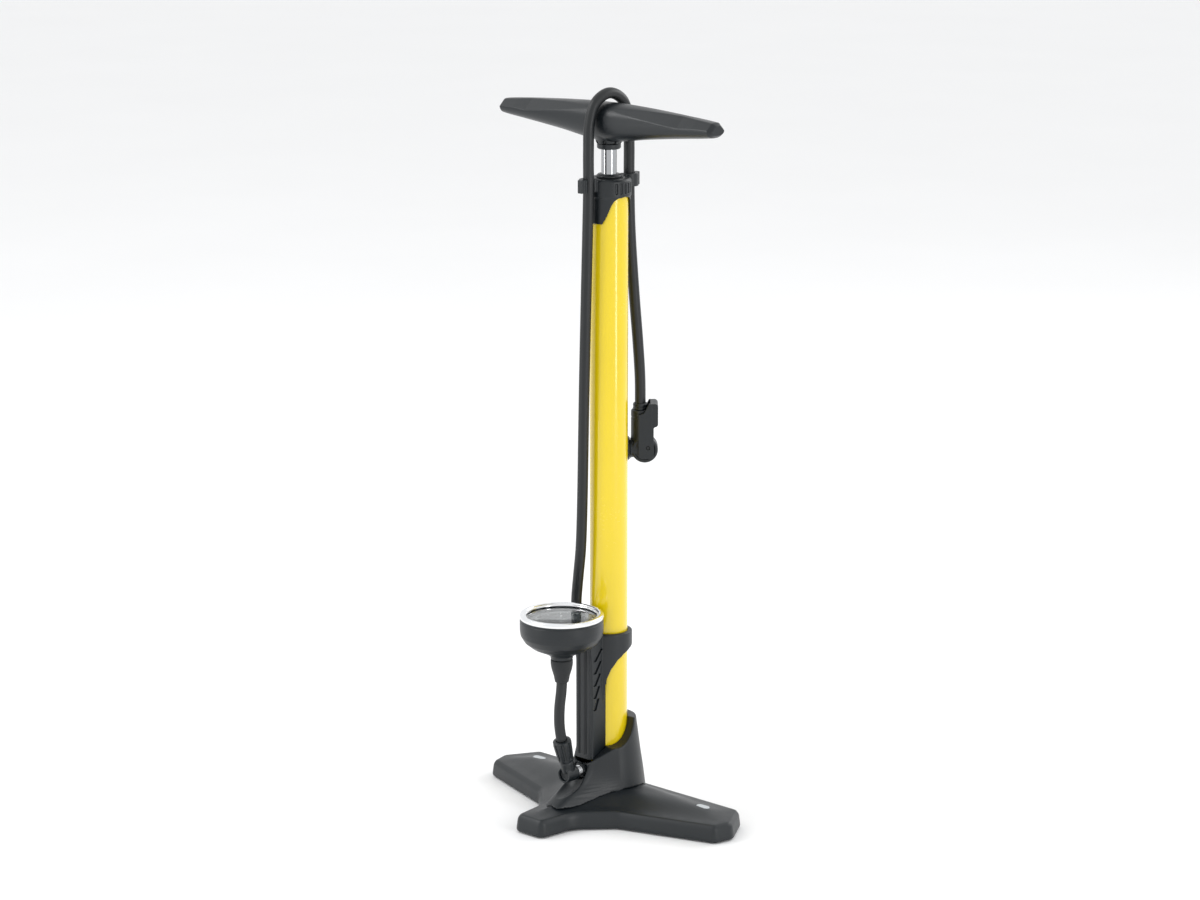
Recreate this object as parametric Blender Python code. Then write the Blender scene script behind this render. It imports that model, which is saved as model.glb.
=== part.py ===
"""Floor bike pump: tripod base, steel barrel, horizontal pressure gauge, T-handle and hose.

Metres, +Z up. The origin is on the floor, under the middle of the base. The handle runs along X
and the front foot and the gauge point to -Y. The barrel stands at y = BARREL_Y.
"""
import math

import bmesh
import bpy
from mathutils import Matrix, Vector
from mathutils.geometry import delaunay_2d_cdt

MM = 0.001
GAP = 0.3 * MM              # air between touching pieces
ROUND = 24                  # sides of the barrel and of what fits it
ROUND_DIAL = 32             # sides of the gauge's rings
ROUND_MID = 18              # sides of the rod, the head and their neighbours
ROUND_SMALL = 12            # sides of a small turned piece

# Base: corners of the right half of the footprint, (x, y from the barrel axis, corner radius)
BASE_CORNERS = [(17.5, -110, 8), (22, -72, 26), (50, -43, 14), (142, -12, 7), (147, 8, 11), (127.5, 42, 9)]
BASE_FRONT = 110 * MM       # reach of the front foot from the barrel axis
BASE_BACK = 42 * MM
BARREL_Y = (BASE_FRONT - BASE_BACK) / 2
BASE_LOW = 1.2 * MM         # the pads lift the shell off the floor
BASE_EDGE = 17 * MM         # height of the side walls
BASE_RISE = 13 * MM         # extra height of the top towards the hub
BASE_POCKET_TOP = 13 * MM
SOCKET_FLOOR = 9 * MM
PAD_R = 9 * MM
PAD_TOP = 5 * MM
PADS = {"foot_pad_left": (-122, 14), "foot_pad_right": (122, 14), "foot_pad_front": (0, -96)}
BADGE_X = 104 * MM          # inlay on each side foot
BADGE_Y = 15 * MM

# Barrel, rod, piston and handle
BARREL_R = 17.5 * MM
ROD_R = 7 * MM
ROD_TOP = 650 * MM
HANDLE_HALF = 129 * MM
CLIP_LOW = 585.5 * MM
CLIP_TOP = 597.5 * MM
CLIP_REACH = 27 * MM        # hose centre at the clips, from the barrel axis

# Hub: valve, side outlet and cowl
OUTLET_Z = 46 * MM
OUTLET_R = 5 * MM
STAND_LOW = 56 * MM

# Gauge
GAUGE_Y = BARREL_Y - 63.5 * MM
PORT_X = -18.5 * MM
PORT_Y = BARREL_Y - 23.8 * MM

# Hoses, as points along the centre line, and the head they end in
HOSE_R = 5 * MM
HOSE_END = (7.3 * MM, BARREL_Y + 34.9 * MM)
HEAD_TURN = math.radians(42.5)      # the nozzle points from -X towards -Y by this much
HEAD_ACROSS = Vector((math.cos(HEAD_TURN), math.sin(HEAD_TURN), 0))
HEAD_CENTRE = Vector((*HOSE_END, 341 * MM)) + HEAD_ACROSS * 4.1 * MM
LEVER_PIN = HEAD_CENTRE + HEAD_ACROSS * 3 * MM + Vector((0, 0, 2.5 * MM))
HOSE_STEP = 13 * MM
MAIN_ROUTE = [
    (-18.5, -23.8, 188.3), (-18.5, -23.8, 205), (-14.6, -25.2, 229), (-10.8, -26, 256), (-8.6, -26.4, 298),
    (-7.1, -26.7, 350), (-5.4, -27, 410), (-3.2, -27, 484), (-1.1, -27, 550), (0, -27, 590), (0, -27, 622),
    (0, -25.8, 646), (0, -18, 664.2), (0, 0, 672), (0, 18, 664.2), (0, 25.8, 646), (0, 27, 622),
    (0, 27, 590), (1.0, 27.5, 545), (4.0, 29.6, 488), (6.7, 32.1, 441), (7.4, 34.3, 408), (7.3, 34.9, 378.3),
]
FEED_ROUTE = [
    (0, -63.5, 136.2), (0, -64.4, 127), (0, -66.6, 113), (0, -67, 99), (0, -65.6, 88), (0, -64.0, 81.9),
]
ELBOW_Y = -54 * MM          # foot of the leaning collar, from the barrel axis
COLLAR_LEAN = math.radians(16)

LOOKS = {
    "black_plastic": ((0.028, 0.036, 0.040), 0.42, 0.0),
    "yellow_paint": ((0.86, 0.55, 0.008), 0.22, 0.0),
    "steel": ((0.62, 0.63, 0.64), 0.22, 1.0),
    "bezel_metal": ((0.78, 0.79, 0.80), 0.28, 1.0),
    "rubber": ((0.022, 0.024, 0.025), 0.68, 0.0),
    "brass": ((0.66, 0.48, 0.20), 0.32, 1.0),
    "dial": ((0.24, 0.27, 0.28), 0.5, 0.0),
    "needle": ((0.85, 0.85, 0.84), 0.4, 0.0),
    "glass": ((0.9, 0.95, 0.95), 0.05, 0.0),
    "grey_inlay": ((0.60, 0.62, 0.63), 0.35, 0.3),
}


# ---------------------------------------------------------------- helpers
def clear_scene():
    for obj in list(bpy.data.objects):
        bpy.data.objects.remove(obj, do_unlink=True)


def material(look):
    """The material of that look, made once."""
    known = bpy.data.materials.get(look)
    if known:
        return known
    colour, roughness, metallic = LOOKS[look]
    made = bpy.data.materials.new(look)
    made.use_nodes = True
    shader = made.node_tree.nodes["Principled BSDF"]
    shader.inputs["Base Color"].default_value = (*colour, 1.0)
    shader.inputs["Roughness"].default_value = roughness
    shader.inputs["Metallic"].default_value = metallic
    return made


def add(name, bm, look, location=(0, 0, 0), rotation=(0, 0, 0)):
    """Turn a bmesh into a named object with its faces pointing out and round faces smooth."""
    bmesh.ops.remove_doubles(bm, verts=bm.verts, dist=1e-7)
    bmesh.ops.recalc_face_normals(bm, faces=bm.faces)
    mesh = bpy.data.meshes.new(name)
    bm.to_mesh(mesh)
    bm.free()
    mesh.shade_smooth()
    mesh.set_sharp_from_angle(angle=math.radians(35))
    obj = bpy.data.objects.new(name, mesh)
    bpy.context.scene.collection.objects.link(obj)
    obj.location = location
    obj.rotation_euler = rotation
    if look:
        mesh.materials.append(material(look))
    return obj


def turned_mesh(profile, sides, closed):
    """Spin (radius, height) points about Z; a closed profile is a ring, an open one ends on the axis."""
    bm = bmesh.new()
    points = [bm.verts.new((radius, 0, height)) for radius, height in profile]
    edges = [bm.edges.new(pair) for pair in zip(points, points[1:])]
    if closed:
        edges.append(bm.edges.new((points[-1], points[0])))
    bmesh.ops.spin(bm, geom=points + edges, axis=(0, 0, 1), cent=(0, 0, 0), steps=sides,
                   angle=2 * math.pi, use_merge=True)
    return bm


def turned(name, look, profile, location=(0, 0, 0), rotation=(0, 0, 0), sides=ROUND, closed=True):
    """A turned piece whose profile is given in millimetres."""
    points = [(radius * MM, height * MM) for radius, height in profile]
    return add(name, turned_mesh(points, sides, closed), look, location, rotation)


def prism_mesh(outline, low, high):
    """Extrude a flat outline of (x, y) points from z = low to z = high."""
    bm = bmesh.new()
    face = bm.faces.new([bm.verts.new((x, y, low)) for x, y in outline])
    top = bmesh.ops.extrude_face_region(bm, geom=[face])["geom"]
    moved = [item for item in top if isinstance(item, bmesh.types.BMVert)]
    bmesh.ops.translate(bm, verts=moved, vec=(0, 0, high - low))
    return bm


def prism(name, look, outline, low, high, location=(0, 0, 0), rotation=(0, 0, 0)):
    """An extruded outline given in millimetres."""
    points = [(x * MM, y * MM) for x, y in outline]
    return add(name, prism_mesh(points, low * MM, high * MM), look, location, rotation)


def loft_mesh(rings):
    """Skin closed rings that all have the same number of points, and close both ends."""
    bm = bmesh.new()
    rows = [[bm.verts.new(point) for point in ring] for ring in rings]
    for lower, upper in zip(rows, rows[1:]):
        for i in range(len(lower)):
            j = (i + 1) % len(lower)
            bm.faces.new((lower[i], lower[j], upper[j], upper[i]))
    bm.faces.new(rows[0])
    bm.faces.new(rows[-1])
    return bm


def combine(target, operation, *tools):
    """Cut or join with hidden tools, which stay in the file as guides."""
    for tool in tools:
        tool.hide_render = True
        tool.display_type = "WIRE"
        change = target.modifiers.new(tool.name, "BOOLEAN")
        change.operation = operation
        change.solver = "EXACT"
        change.object = tool


def cut(target, *tools):
    combine(target, "DIFFERENCE", *tools)


def join(target, *tools):
    combine(target, "UNION", *tools)


def rod_tool(name, radius, low, high, location=(0, 0, 0), rotation=(0, 0, 0), sides=ROUND):
    """A plain round tool along its own Z."""
    profile = [(0, low), (radius, low), (radius, high), (0, high)]
    return turned(name, None, profile, location, rotation, sides, closed=False)


def box_tool(name, low, high, location=(0, 0, 0)):
    outline = [(low[0], low[1]), (high[0], low[1]), (high[0], high[1]), (low[0], high[1])]
    return prism(name, None, outline, low[2], high[2], location)


def arc(centre, radius, start, end, steps):
    """Points of an arc; angles in degrees, both ends included."""
    for i in range(steps + 1):
        angle = math.radians(start + (end - start) * i / steps)
        yield (centre[0] + radius * math.cos(angle), centre[1] + radius * math.sin(angle))


def rounded(corners, steps=4):
    """Round each (x, y, radius) corner of a closed outline with an arc."""
    outline = []
    for i, (x, y, radius) in enumerate(corners):
        here = Vector((x, y))
        before = (Vector(corners[i - 1][:2]) - here).normalized()
        after = (Vector(corners[(i + 1) % len(corners)][:2]) - here).normalized()
        half = before.angle(after) / 2
        centre = here + (before + after).normalized() * (radius / math.sin(half))
        first = here + before * (radius / math.tan(half)) - centre
        last = here + after * (radius / math.tan(half)) - centre
        turn = first.angle_signed(last)
        for k in range(steps + 1):
            outline.append(centre + Matrix.Rotation(-turn * k / steps, 2) @ first)
    return [(point.x, point.y) for point in outline]


def inset(outline, distance):
    """Move each side of an anticlockwise outline inwards."""
    moved = []
    for i, point in enumerate(outline):
        here = Vector(point)
        before = (here - Vector(outline[i - 1])).normalized()
        after = (Vector(outline[(i + 1) % len(outline)]) - here).normalized()
        inward = Vector((-before.y - after.y, before.x + after.x)).normalized()
        reach = distance / max(0.4, inward.dot(Vector((-before.y, before.x))))
        moved.append(tuple(here + inward * reach))
    return moved


def smooth_route(points, spacing):
    """Even points along a smooth curve through hand-chosen points."""
    knots = [Vector(point) for point in points]
    knots = [knots[0] * 2 - knots[1]] + knots + [knots[-1] * 2 - knots[-2]]
    fine = []
    for a, b, c, d in zip(knots, knots[1:], knots[2:], knots[3:]):
        for k in range(24):
            t = k / 24
            fine.append(0.5 * ((2 * b) + (c - a) * t + (2 * a - 5 * b + 4 * c - d) * t ** 2
                               + (3 * b - a - 3 * c + d) * t ** 3))
    fine.append(knots[-2])
    run = [0.0]
    for a, b in zip(fine, fine[1:]):
        run.append(run[-1] + (b - a).length)
    count = max(2, round(run[-1] / spacing))
    even, k = [], 0
    for i in range(count + 1):
        wanted = run[-1] * i / count
        while k < len(run) - 2 and run[k + 1] < wanted:
            k += 1
        share = (wanted - run[k]) / (run[k + 1] - run[k])
        even.append(fine[k].lerp(fine[k + 1], min(1.0, share)))
    return even


def tube(name, look, points, radius, resolution=2):
    """A round solid along a line of points."""
    curve = bpy.data.curves.new(name, "CURVE")
    curve.dimensions = "3D"
    curve.bevel_depth = radius
    curve.bevel_resolution = resolution
    curve.use_fill_caps = True
    spline = curve.splines.new("POLY")
    spline.points.add(len(points) - 1)
    for slot, point in zip(spline.points, points):
        slot.co = (*point, 1.0)
    curve.materials.append(material(look))
    obj = bpy.data.objects.new(name, curve)
    bpy.context.scene.collection.objects.link(obj)
    return obj


def on_barrel(points):
    """Millimetre points from the barrel axis, as metres from the origin."""
    return [Vector((x * MM, BARREL_Y + y * MM, z * MM)) for x, y, z in points]


AXIS = (0, BARREL_Y, 0)
DIAL_AXIS = (0, GAUGE_Y, 0)
TO_FRONT = (math.pi / 2, 0, 0)      # local +Z to -Y
TO_BARREL = (0, -math.pi / 2, HEAD_TURN)    # local +Z along the nozzle
TO_SIDE = (math.pi / 2, 0, HEAD_TURN)       # local +Z along the lever's pin, an outline's y up
TO_RIGHT_EXTRUDE = (math.pi / 2, 0, math.pi / 2)    # an outline's x to +Y, its y to +Z


# ---------------------------------------------------------------- base
def base_outline():
    mirrored = [(-x, y, radius) for x, y, radius in reversed(BASE_CORNERS)]
    return rounded(BASE_CORNERS + mirrored)


def base_height(x, y, edge):
    """Height of the base's top in mm: it rises from its rim towards the barrel."""
    point = Vector((x, y))
    rim = min((point - nearest_on_side(point, Vector(a), Vector(b))).length
              for a, b in zip(edge, edge[1:] + edge[:1]))
    share = min(1.0, rim / 30)
    towards_hub = max(0.0, 1 - point.length / 165)
    return (BASE_EDGE + BASE_RISE * share * share * (3 - 2 * share) * towards_hub) / MM


def nearest_on_side(point, a, b):
    share = (point - a).dot(b - a) / max(1e-9, (b - a).length_squared)
    return a.lerp(b, min(1.0, max(0.0, share)))


def base_shell(name, look, lift):
    """The base's outer shape, its top raised by lift."""
    outline = base_outline()
    rings = []
    for distance, height in ((0.8, BASE_LOW / MM), (0, 2.6), (1.2, 12.5), (2.6, 15.4), (5.2, BASE_EDGE / MM)):
        rings.append([(x, y, height + (lift if height > 14 else 0)) for x, y in inset(outline, distance)])
    bm = bmesh.new()
    rows = [[bm.verts.new(Vector(point) * MM) for point in ring] for ring in rings]
    for lower, upper in zip(rows, rows[1:]):
        for i in range(len(lower)):
            j = (i + 1) % len(lower)
            bm.faces.new((lower[i], lower[j], upper[j], upper[i]))
    bm.faces.new(rows[0])
    rim = [(x, y) for x, y, _ in rings[-1]]
    inner = [(x, y) for x in range(-130, 131, 13) for y in range(-98, 40, 13)
             if inside(x, y, rim) and (base_height(x, y, rim) > BASE_EDGE / MM + 0.15)]
    flat = [Vector(point) for point in rim + inner]
    sides = [(i, (i + 1) % len(rim)) for i in range(len(rim))]
    points, _, faces, *_ = delaunay_2d_cdt(flat, sides, [list(range(len(rim)))], 1, 1e-5)
    top = list(rows[-1])
    for x, y in points[len(rim):]:
        top.append(bm.verts.new(Vector((x, y, base_height(x, y, rim) + lift)) * MM))
    for face in faces:
        bm.faces.new([top[i] for i in face])
    return add(name, bm, look, AXIS)


def inside(x, y, outline):
    """Whether a point lies in an outline."""
    crossings = 0
    for (ax, ay), (bx, by) in zip(outline, outline[1:] + outline[:1]):
        if (ay > y) != (by > y) and x < (bx - ax) * (y - ay) / (by - ay) + ax:
            crossings += 1
    return crossings % 2 == 1


def pocket_front(x):
    """Front limit of the underside's pockets, which follows the foot's front edge."""
    return -34 + (x - 54) * 19 / 52


def make_base():
    base = base_shell("base_body", "black_plastic", 0)
    # pockets in the underside, with ribs left between them
    for side in (-1, 1):
        for near, far in ((50, 76), (80, 106)):
            front = [(near, pocket_front(near)), (far, pocket_front(far)), (far, 2), (near, 2)]
            back = [(near, 6), (far, 6), (far, 34), (near, 34)]
            for part, outline in (("front", front), ("back", back)):
                flipped = [(side * x, y) for x, y in outline]
                name = f"pocket_{part}_{near}_{side + 1}"
                cut(base, prism(name, None, flipped, -5, BASE_POCKET_TOP / MM, AXIS))
    cut(base, prism("pocket_nose", None, [(-13, -80), (13, -80), (16, -60), (-16, -60)], -5, 12, AXIS))
    # socket of the barrel and the recesses of the pads
    cut(base, rod_tool("socket", BARREL_R / MM + 0.3, SOCKET_FLOOR / MM, 60, AXIS))
    for name, (x, y) in PADS.items():
        place = (x * MM, BARREL_Y + y * MM, 0)
        cut(base, rod_tool("seat_" + name, PAD_R / MM + 0.3, -3, PAD_TOP / MM + 0.3, place, sides=ROUND_SMALL))
        turned(name, "rubber", [(0, 0), (8.2, 0), (9, 0.8), (9, 5), (0, 5)], place, sides=ROUND_SMALL, closed=False)
    for side, name in ((-1, "badge_left"), (1, "badge_right")):
        make_badge(base, name, side)
    for side, name in ((-1, "left"), (1, "right")):
        place = (side * 24 * MM, BARREL_Y + 16 * MM, 0)
        cut(base, rod_tool("screw_way_" + name, 2.3, -3, 60, place, sides=ROUND_SMALL),
            rod_tool("screw_head_way_" + name, 4.3, -3, 10.3, place, sides=ROUND_SMALL))
        turned("cowl_screw_" + name, "steel",
               [(0, 7), (3.2, 7), (3.9, 7.6), (3.9, 10), (2, 10), (2, 36), (1.2, 38), (0, 38)],
               place, sides=ROUND_SMALL, closed=False)


def make_badge(base, name, side):
    """A plain pill-shaped inlay set into the top of a foot."""
    outline = list(arc((3.5, 0), 3.6, -90, 90, 6)) + list(arc((-3.5, 0), 3.6, 90, 270, 6))
    seat = [(x * 1.04, y * 1.07) for x, y in outline]
    rim = [(x, y) for x, y in inset(base_outline(), 5.2)]
    height = base_height(BADGE_X / MM, BADGE_Y / MM, rim)
    place = (side * BADGE_X, BARREL_Y + BADGE_Y, 0)
    cut(base, prism("seat_" + name, None, seat, height - 1.4, height + 4, place))
    prism(name, "grey_inlay", outline, height - 1.1, height + 0.4, place)


# ---------------------------------------------------------------- hub
def cowl_ring(height, nose, nose_half, radius):
    """A level section of the cowl: round behind, narrowing to a blunt nose in front."""
    back = list(arc((0, 0), radius, -28, 208, 20))
    tip = list(arc((0, nose + nose_half * 0.6), nose_half, 205, 335, 6))
    return [(x * MM, y * MM, height * MM) for x, y in back + tip]


def saddle(y):
    """Height in mm of the cowl's upper edge, low in front of the barrel and high behind it."""
    if y < -17:
        return 66 + (y + 17) * 0.6
    return 66 + 0.031 * (y + 17) ** 2


def make_cowl():
    levels = [(12, -86, 10, 35.5), (20, -76, 11, 35), (28, -60, 12, 34), (36, -46, 13, 33),
              (46, -38, 14, 31.6), (58, -35, 15, 29.8), (72, -33, 16, 28), (90, -32, 17, 25.6)]
    cowl = add("hub_cowl", loft_mesh([cowl_ring(*level) for level in levels]), "black_plastic", AXIS)
    cut(cowl, base_shell("cowl_seat", None, GAP / MM),
        rod_tool("cowl_bore", BARREL_R / MM + 0.3, -5, 120, AXIS))
    above = [(y, saddle(y)) for y in (-95, -60, -36, -26, -17, -11, -5, 1, 6, 11)]
    tool = prism("cowl_saddle", None, above + [(11, 130), (-95, 130)], -60, 60, AXIS, TO_RIGHT_EXTRUDE)
    cut(cowl, tool, box_tool("stand_seat", (-10.3, -35.4, STAND_LOW / MM - 0.3), (10.3, -10, 130), AXIS),
        rod_tool("outlet_way", OUTLET_R / MM + 0.3, -5, 70, (0, BARREL_Y, OUTLET_Z), TO_FRONT, ROUND_SMALL),
        rod_tool("elbow_room", 8.4, 36.2, 95, (0, BARREL_Y, OUTLET_Z), TO_FRONT, ROUND_MID))
    for side, name in ((-1, "left"), (1, "right")):
        place = (side * 24 * MM, BARREL_Y + 16 * MM, 0)
        cut(cowl, rod_tool("cowl_screw_way_" + name, 2.3, 5, 40, place, sides=ROUND_SMALL))


def make_valve():
    body = turned("valve_body", "brass",
                  [(0, 9.6), (15.2, 9.6), (15.2, 56), (2.5, 56), (2.5, 50), (4.6, 50), (4.6, 30), (0, 30)],
                  AXIS, closed=False)
    cut(body, rod_tool("outlet_seat", OUTLET_R / MM + 0.3, 11, 20, (0, BARREL_Y, OUTLET_Z), TO_FRONT, ROUND_SMALL),
        rod_tool("outlet_passage", 2.2, 0, 14, (0, BARREL_Y, OUTLET_Z - 1.5 * MM), TO_FRONT, ROUND_SMALL))
    turned("check_valve", "brass", [(0, 44.5), (2.2, 44.5), (2.2, 47), (4, 47), (4, 49.7), (0, 49.7)], AXIS,
           sides=ROUND_SMALL, closed=False)
    turns, sides = 5, 12
    coil = []
    for k in range(turns * sides + 1):
        angle = 2 * math.pi * k / sides
        height = 31 + 15 * k / (turns * sides)
        coil.append((3.2 * math.cos(angle), 3.2 * math.sin(angle), height))
    tube("valve_spring", "steel", on_barrel(coil), 0.4 * MM, resolution=0)


def make_outlet():
    """Metal spigot from the barrel's foot to the elbow, and the elbow that turns up to the feed hose."""
    place = (0, BARREL_Y, OUTLET_Z)
    turned("outlet_spigot", "steel", [(1.8, 11.4), (5, 11.4), (5, 46.7), (1.8, 46.7)], place, TO_FRONT, ROUND_SMALL)
    turned("outlet_nut", "black_plastic", [(5.3, 36.5), (6.6, 36.5), (7, 37.2), (7, 40), (5.3, 40)],
           place, TO_FRONT, ROUND_SMALL)
    elbow = turned("elbow_fitting", "black_plastic",
                   [(0, 47), (6.9, 47), (7.4, 48), (7.4, 61), (6.9, 61.6), (5.6, 61.6), (5.6, 58.6), (0, 58.6)],
                   place, TO_FRONT, ROUND_MID, closed=False)
    foot = (0, BARREL_Y + ELBOW_Y, OUTLET_Z)
    join(elbow, rod_tool("elbow_neck", 6.4, 3, 14, foot, (COLLAR_LEAN, 0, 0), ROUND_MID))
    turned("feed_collar", "black_plastic",
           [(0, 14.3), (7.0, 14.3), (7.4, 16), (8.8, 34), (8.2, 36.4), (5.4, 36.6), (5.4, 33), (0, 33)],
           foot, (COLLAR_LEAN, 0, 0), ROUND_MID, closed=False)
    top = Vector(foot) + Matrix.Rotation(COLLAR_LEAN, 3, "X") @ Vector((0, 0, 33.3 * MM))
    route = on_barrel(FEED_ROUTE[:-1]) + [top]
    tube("feed_hose", "rubber", smooth_route(route, 8 * MM), HOSE_R)


# ---------------------------------------------------------------- barrel and pump action
def make_barrel():
    barrel = turned("barrel", "yellow_paint",
                    [(15.5, 9.3), (17.5, 9.3), (17.5, 588), (15.5, 588)], AXIS)
    cut(barrel, rod_tool("barrel_outlet", OUTLET_R / MM + 0.3, 5, 30, (0, BARREL_Y, OUTLET_Z), TO_FRONT, ROUND_SMALL))


def clip_outline(turn):
    """A C-shaped hose clip with an ear, open to one side."""
    centre = (0, -CLIP_REACH / MM)
    outer = list(arc(centre, 8.6, 62, 250, 12)) + [(-2.6, -38.6), (2.6, -38.6)]
    outer += list(arc(centre, 8.6, 290, 304, 1))
    inner = list(arc(centre, 5.4, 304, 62, 12))
    flip = math.cos(turn)
    return [(x * flip, y * flip) for x, y in outer + inner]


def make_cap():
    cap = turned("top_cap", "black_plastic",
                 [(17.8, 556), (19.5, 556), (19.5, 579), (20.3, 580), (20.3, 594), (18.8, 596), (10, 596),
                  (10, 588.3), (17.8, 588.3)], AXIS)
    side = [(-17.9, 554), (-16.8, 558.5), (-14.6, 566), (-12.8, 572), (-10.6, 576.6), (-7, 579.2), (0, 580.2)]
    window = [(-25, 540)] + side + [(-y, z) for y, z in reversed(side[:-1])] + [(25, 540)]
    cut(cap, prism("cap_window", None, window, -30, 30, AXIS, TO_RIGHT_EXTRUDE))
    for turn, name in ((0, "front"), (math.pi, "back")):
        join(cap, prism("clip_" + name, None, clip_outline(turn), CLIP_LOW / MM, CLIP_TOP / MM, AXIS))
    turned("rod_bush", "black_plastic",
           [(7.3, 586), (9.7, 586), (9.7, 596.3), (11.5, 596.3), (11.5, 598), (9.6, 599.6), (7.3, 599.6)], AXIS,
           sides=ROUND_MID)


def handle_ring(x, low, high, half_width, square):
    """One upright section of the handle."""
    centre, half = (low + high) / 2, (high - low) / 2
    ring = []
    for k in range(20):
        angle = 2 * math.pi * k / 20
        c, s = math.cos(angle), math.sin(angle)
        y = half_width * math.copysign(abs(c) ** (2 / square), c)
        z = half * math.copysign(abs(s) ** (2 / square), s)
        ring.append((x * MM, y * MM, (centre + z) * MM))
    return ring


def make_handle():
    half = [(0, 628.5, 663.8, 18), (14, 629.5, 663.7, 17.8), (28, 631.5, 663.3, 17.2), (48, 634.5, 662.4, 16.2),
            (72, 637.4, 661, 15), (96, 640, 659.4, 13.6), (116, 642, 657.8, 12), (125.5, 643.2, 656.8, 11.2),
            (HANDLE_HALF / MM, 645.4, 654.6, 8.4)]
    stations = [(-x, *rest) for x, *rest in reversed(half[1:])] + half
    rings = [handle_ring(*station, 2.3) for station in stations]
    handle = add("handle", loft_mesh(rings), "black_plastic", AXIS)
    join(handle, turned("handle_boss", None, [(0, 627), (11, 627), (12, 629), (14.5, 634), (16, 644), (0, 650)],
                        AXIS, sides=ROUND_MID, closed=False))
    cut(handle, rod_tool("rod_socket", ROD_R / MM + 0.3, 600, ROD_TOP / MM + 0.3, AXIS, sides=ROUND_MID))
    turned("rod_collar", "black_plastic", [(7.3, 622), (9.6, 622), (10.8, 623), (10.8, 626.7), (7.3, 626.7)], AXIS,
           sides=ROUND_MID)


def make_piston():
    turned("rod", "steel", [(5.4, 70), (7, 70), (7, 650), (5.4, 650)], AXIS, sides=ROUND_MID)
    turned("piston", "black_plastic",
           [(0, 62), (15.2, 62), (15.2, 66), (13.2, 66), (13.2, 69.4), (15.2, 69.4), (15.2, 76), (7.3, 76),
            (7.3, 69.7), (0, 69.7)], AXIS, closed=False)
    turned("piston_ring", "rubber", [(13.5, 66.3), (15.3, 66.3), (15.42, 67.7), (15.3, 69.1), (13.5, 69.1)], AXIS)
    turned("piston_washer", "steel", [(3.3, 60.2), (9, 60.2), (9, 61.7), (3.3, 61.7)], AXIS, sides=ROUND_MID)
    turned("piston_screw", "steel", [(0, 57), (5.2, 57), (5.2, 59.9), (0, 59.9)], AXIS, sides=6, closed=False)


# ---------------------------------------------------------------- gauge
def housing_profile(grow):
    """Outer side of the gauge housing, from the foot of its boss to its rim, in mm."""
    points = [(10, 159), (10.6, 162.5), (17, 166), (27, 170.5), (34, 176), (37.6, 182), (38.3, 187), (38.3, 198)]
    return [(radius + grow, height - grow * 0.6) for radius, height in points]


def make_stand():
    post = box_tool("gauge_stand", (-10, -35, STAND_LOW / MM), (10, -11, 174), AXIS)
    post.data.materials.append(material("black_plastic"))
    collar = turned("stand_collar", None, [(16.5, 100), (21.8, 100), (21.8, 174), (16.5, 174)], AXIS)
    under = [(-30, 96), (-20, 100), (-18, 118), (-17, 131), (-14, 141), (-9, 149), (-2, 154.5), (6, 158), (14, 160),
             (30, 160)]
    cut(collar, prism("collar_sweep", None, under + [(30, 90), (-30, 90)], -30, 30, AXIS, TO_RIGHT_EXTRUDE))
    join(post, collar)
    room = turned("housing_room", None, [(0, 150)] + housing_profile(0.3) + [(38.6, 230), (0, 230)], DIAL_AXIS,
                  closed=False)
    cut(post, rod_tool("stand_bore", BARREL_R / MM + 0.3, 20, 190, AXIS), room)
    for k in range(5):
        middle = 158 - 11.8 * k
        reach = -18.5 - 1.2 * k
        slant = [(-31.5, middle - 8), (-27.5, middle - 8), (reach, middle + 3), (reach - 4, middle + 3)]
        for side in (-1, 1):
            ends = sorted((side * 7.5, side * 12))
            cut(post, prism(f"stand_slot_{k}_{side + 1}", None, slant, *ends, AXIS, TO_RIGHT_EXTRUDE))
    cut(post, rod_tool("clamp_way", 1.9, 15, 30, (0, BARREL_Y, 167 * MM), (-math.pi / 2, 0, 0), ROUND_SMALL))
    turned("clamp_screw", "steel", [(0, 18.2), (1.6, 18.2), (1.6, 22.1), (3.2, 22.1), (3.2, 23.2), (2.4, 24), (0, 24)],
           (0, BARREL_Y, 167 * MM), (-math.pi / 2, 0, 0), ROUND_SMALL, closed=False)


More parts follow.
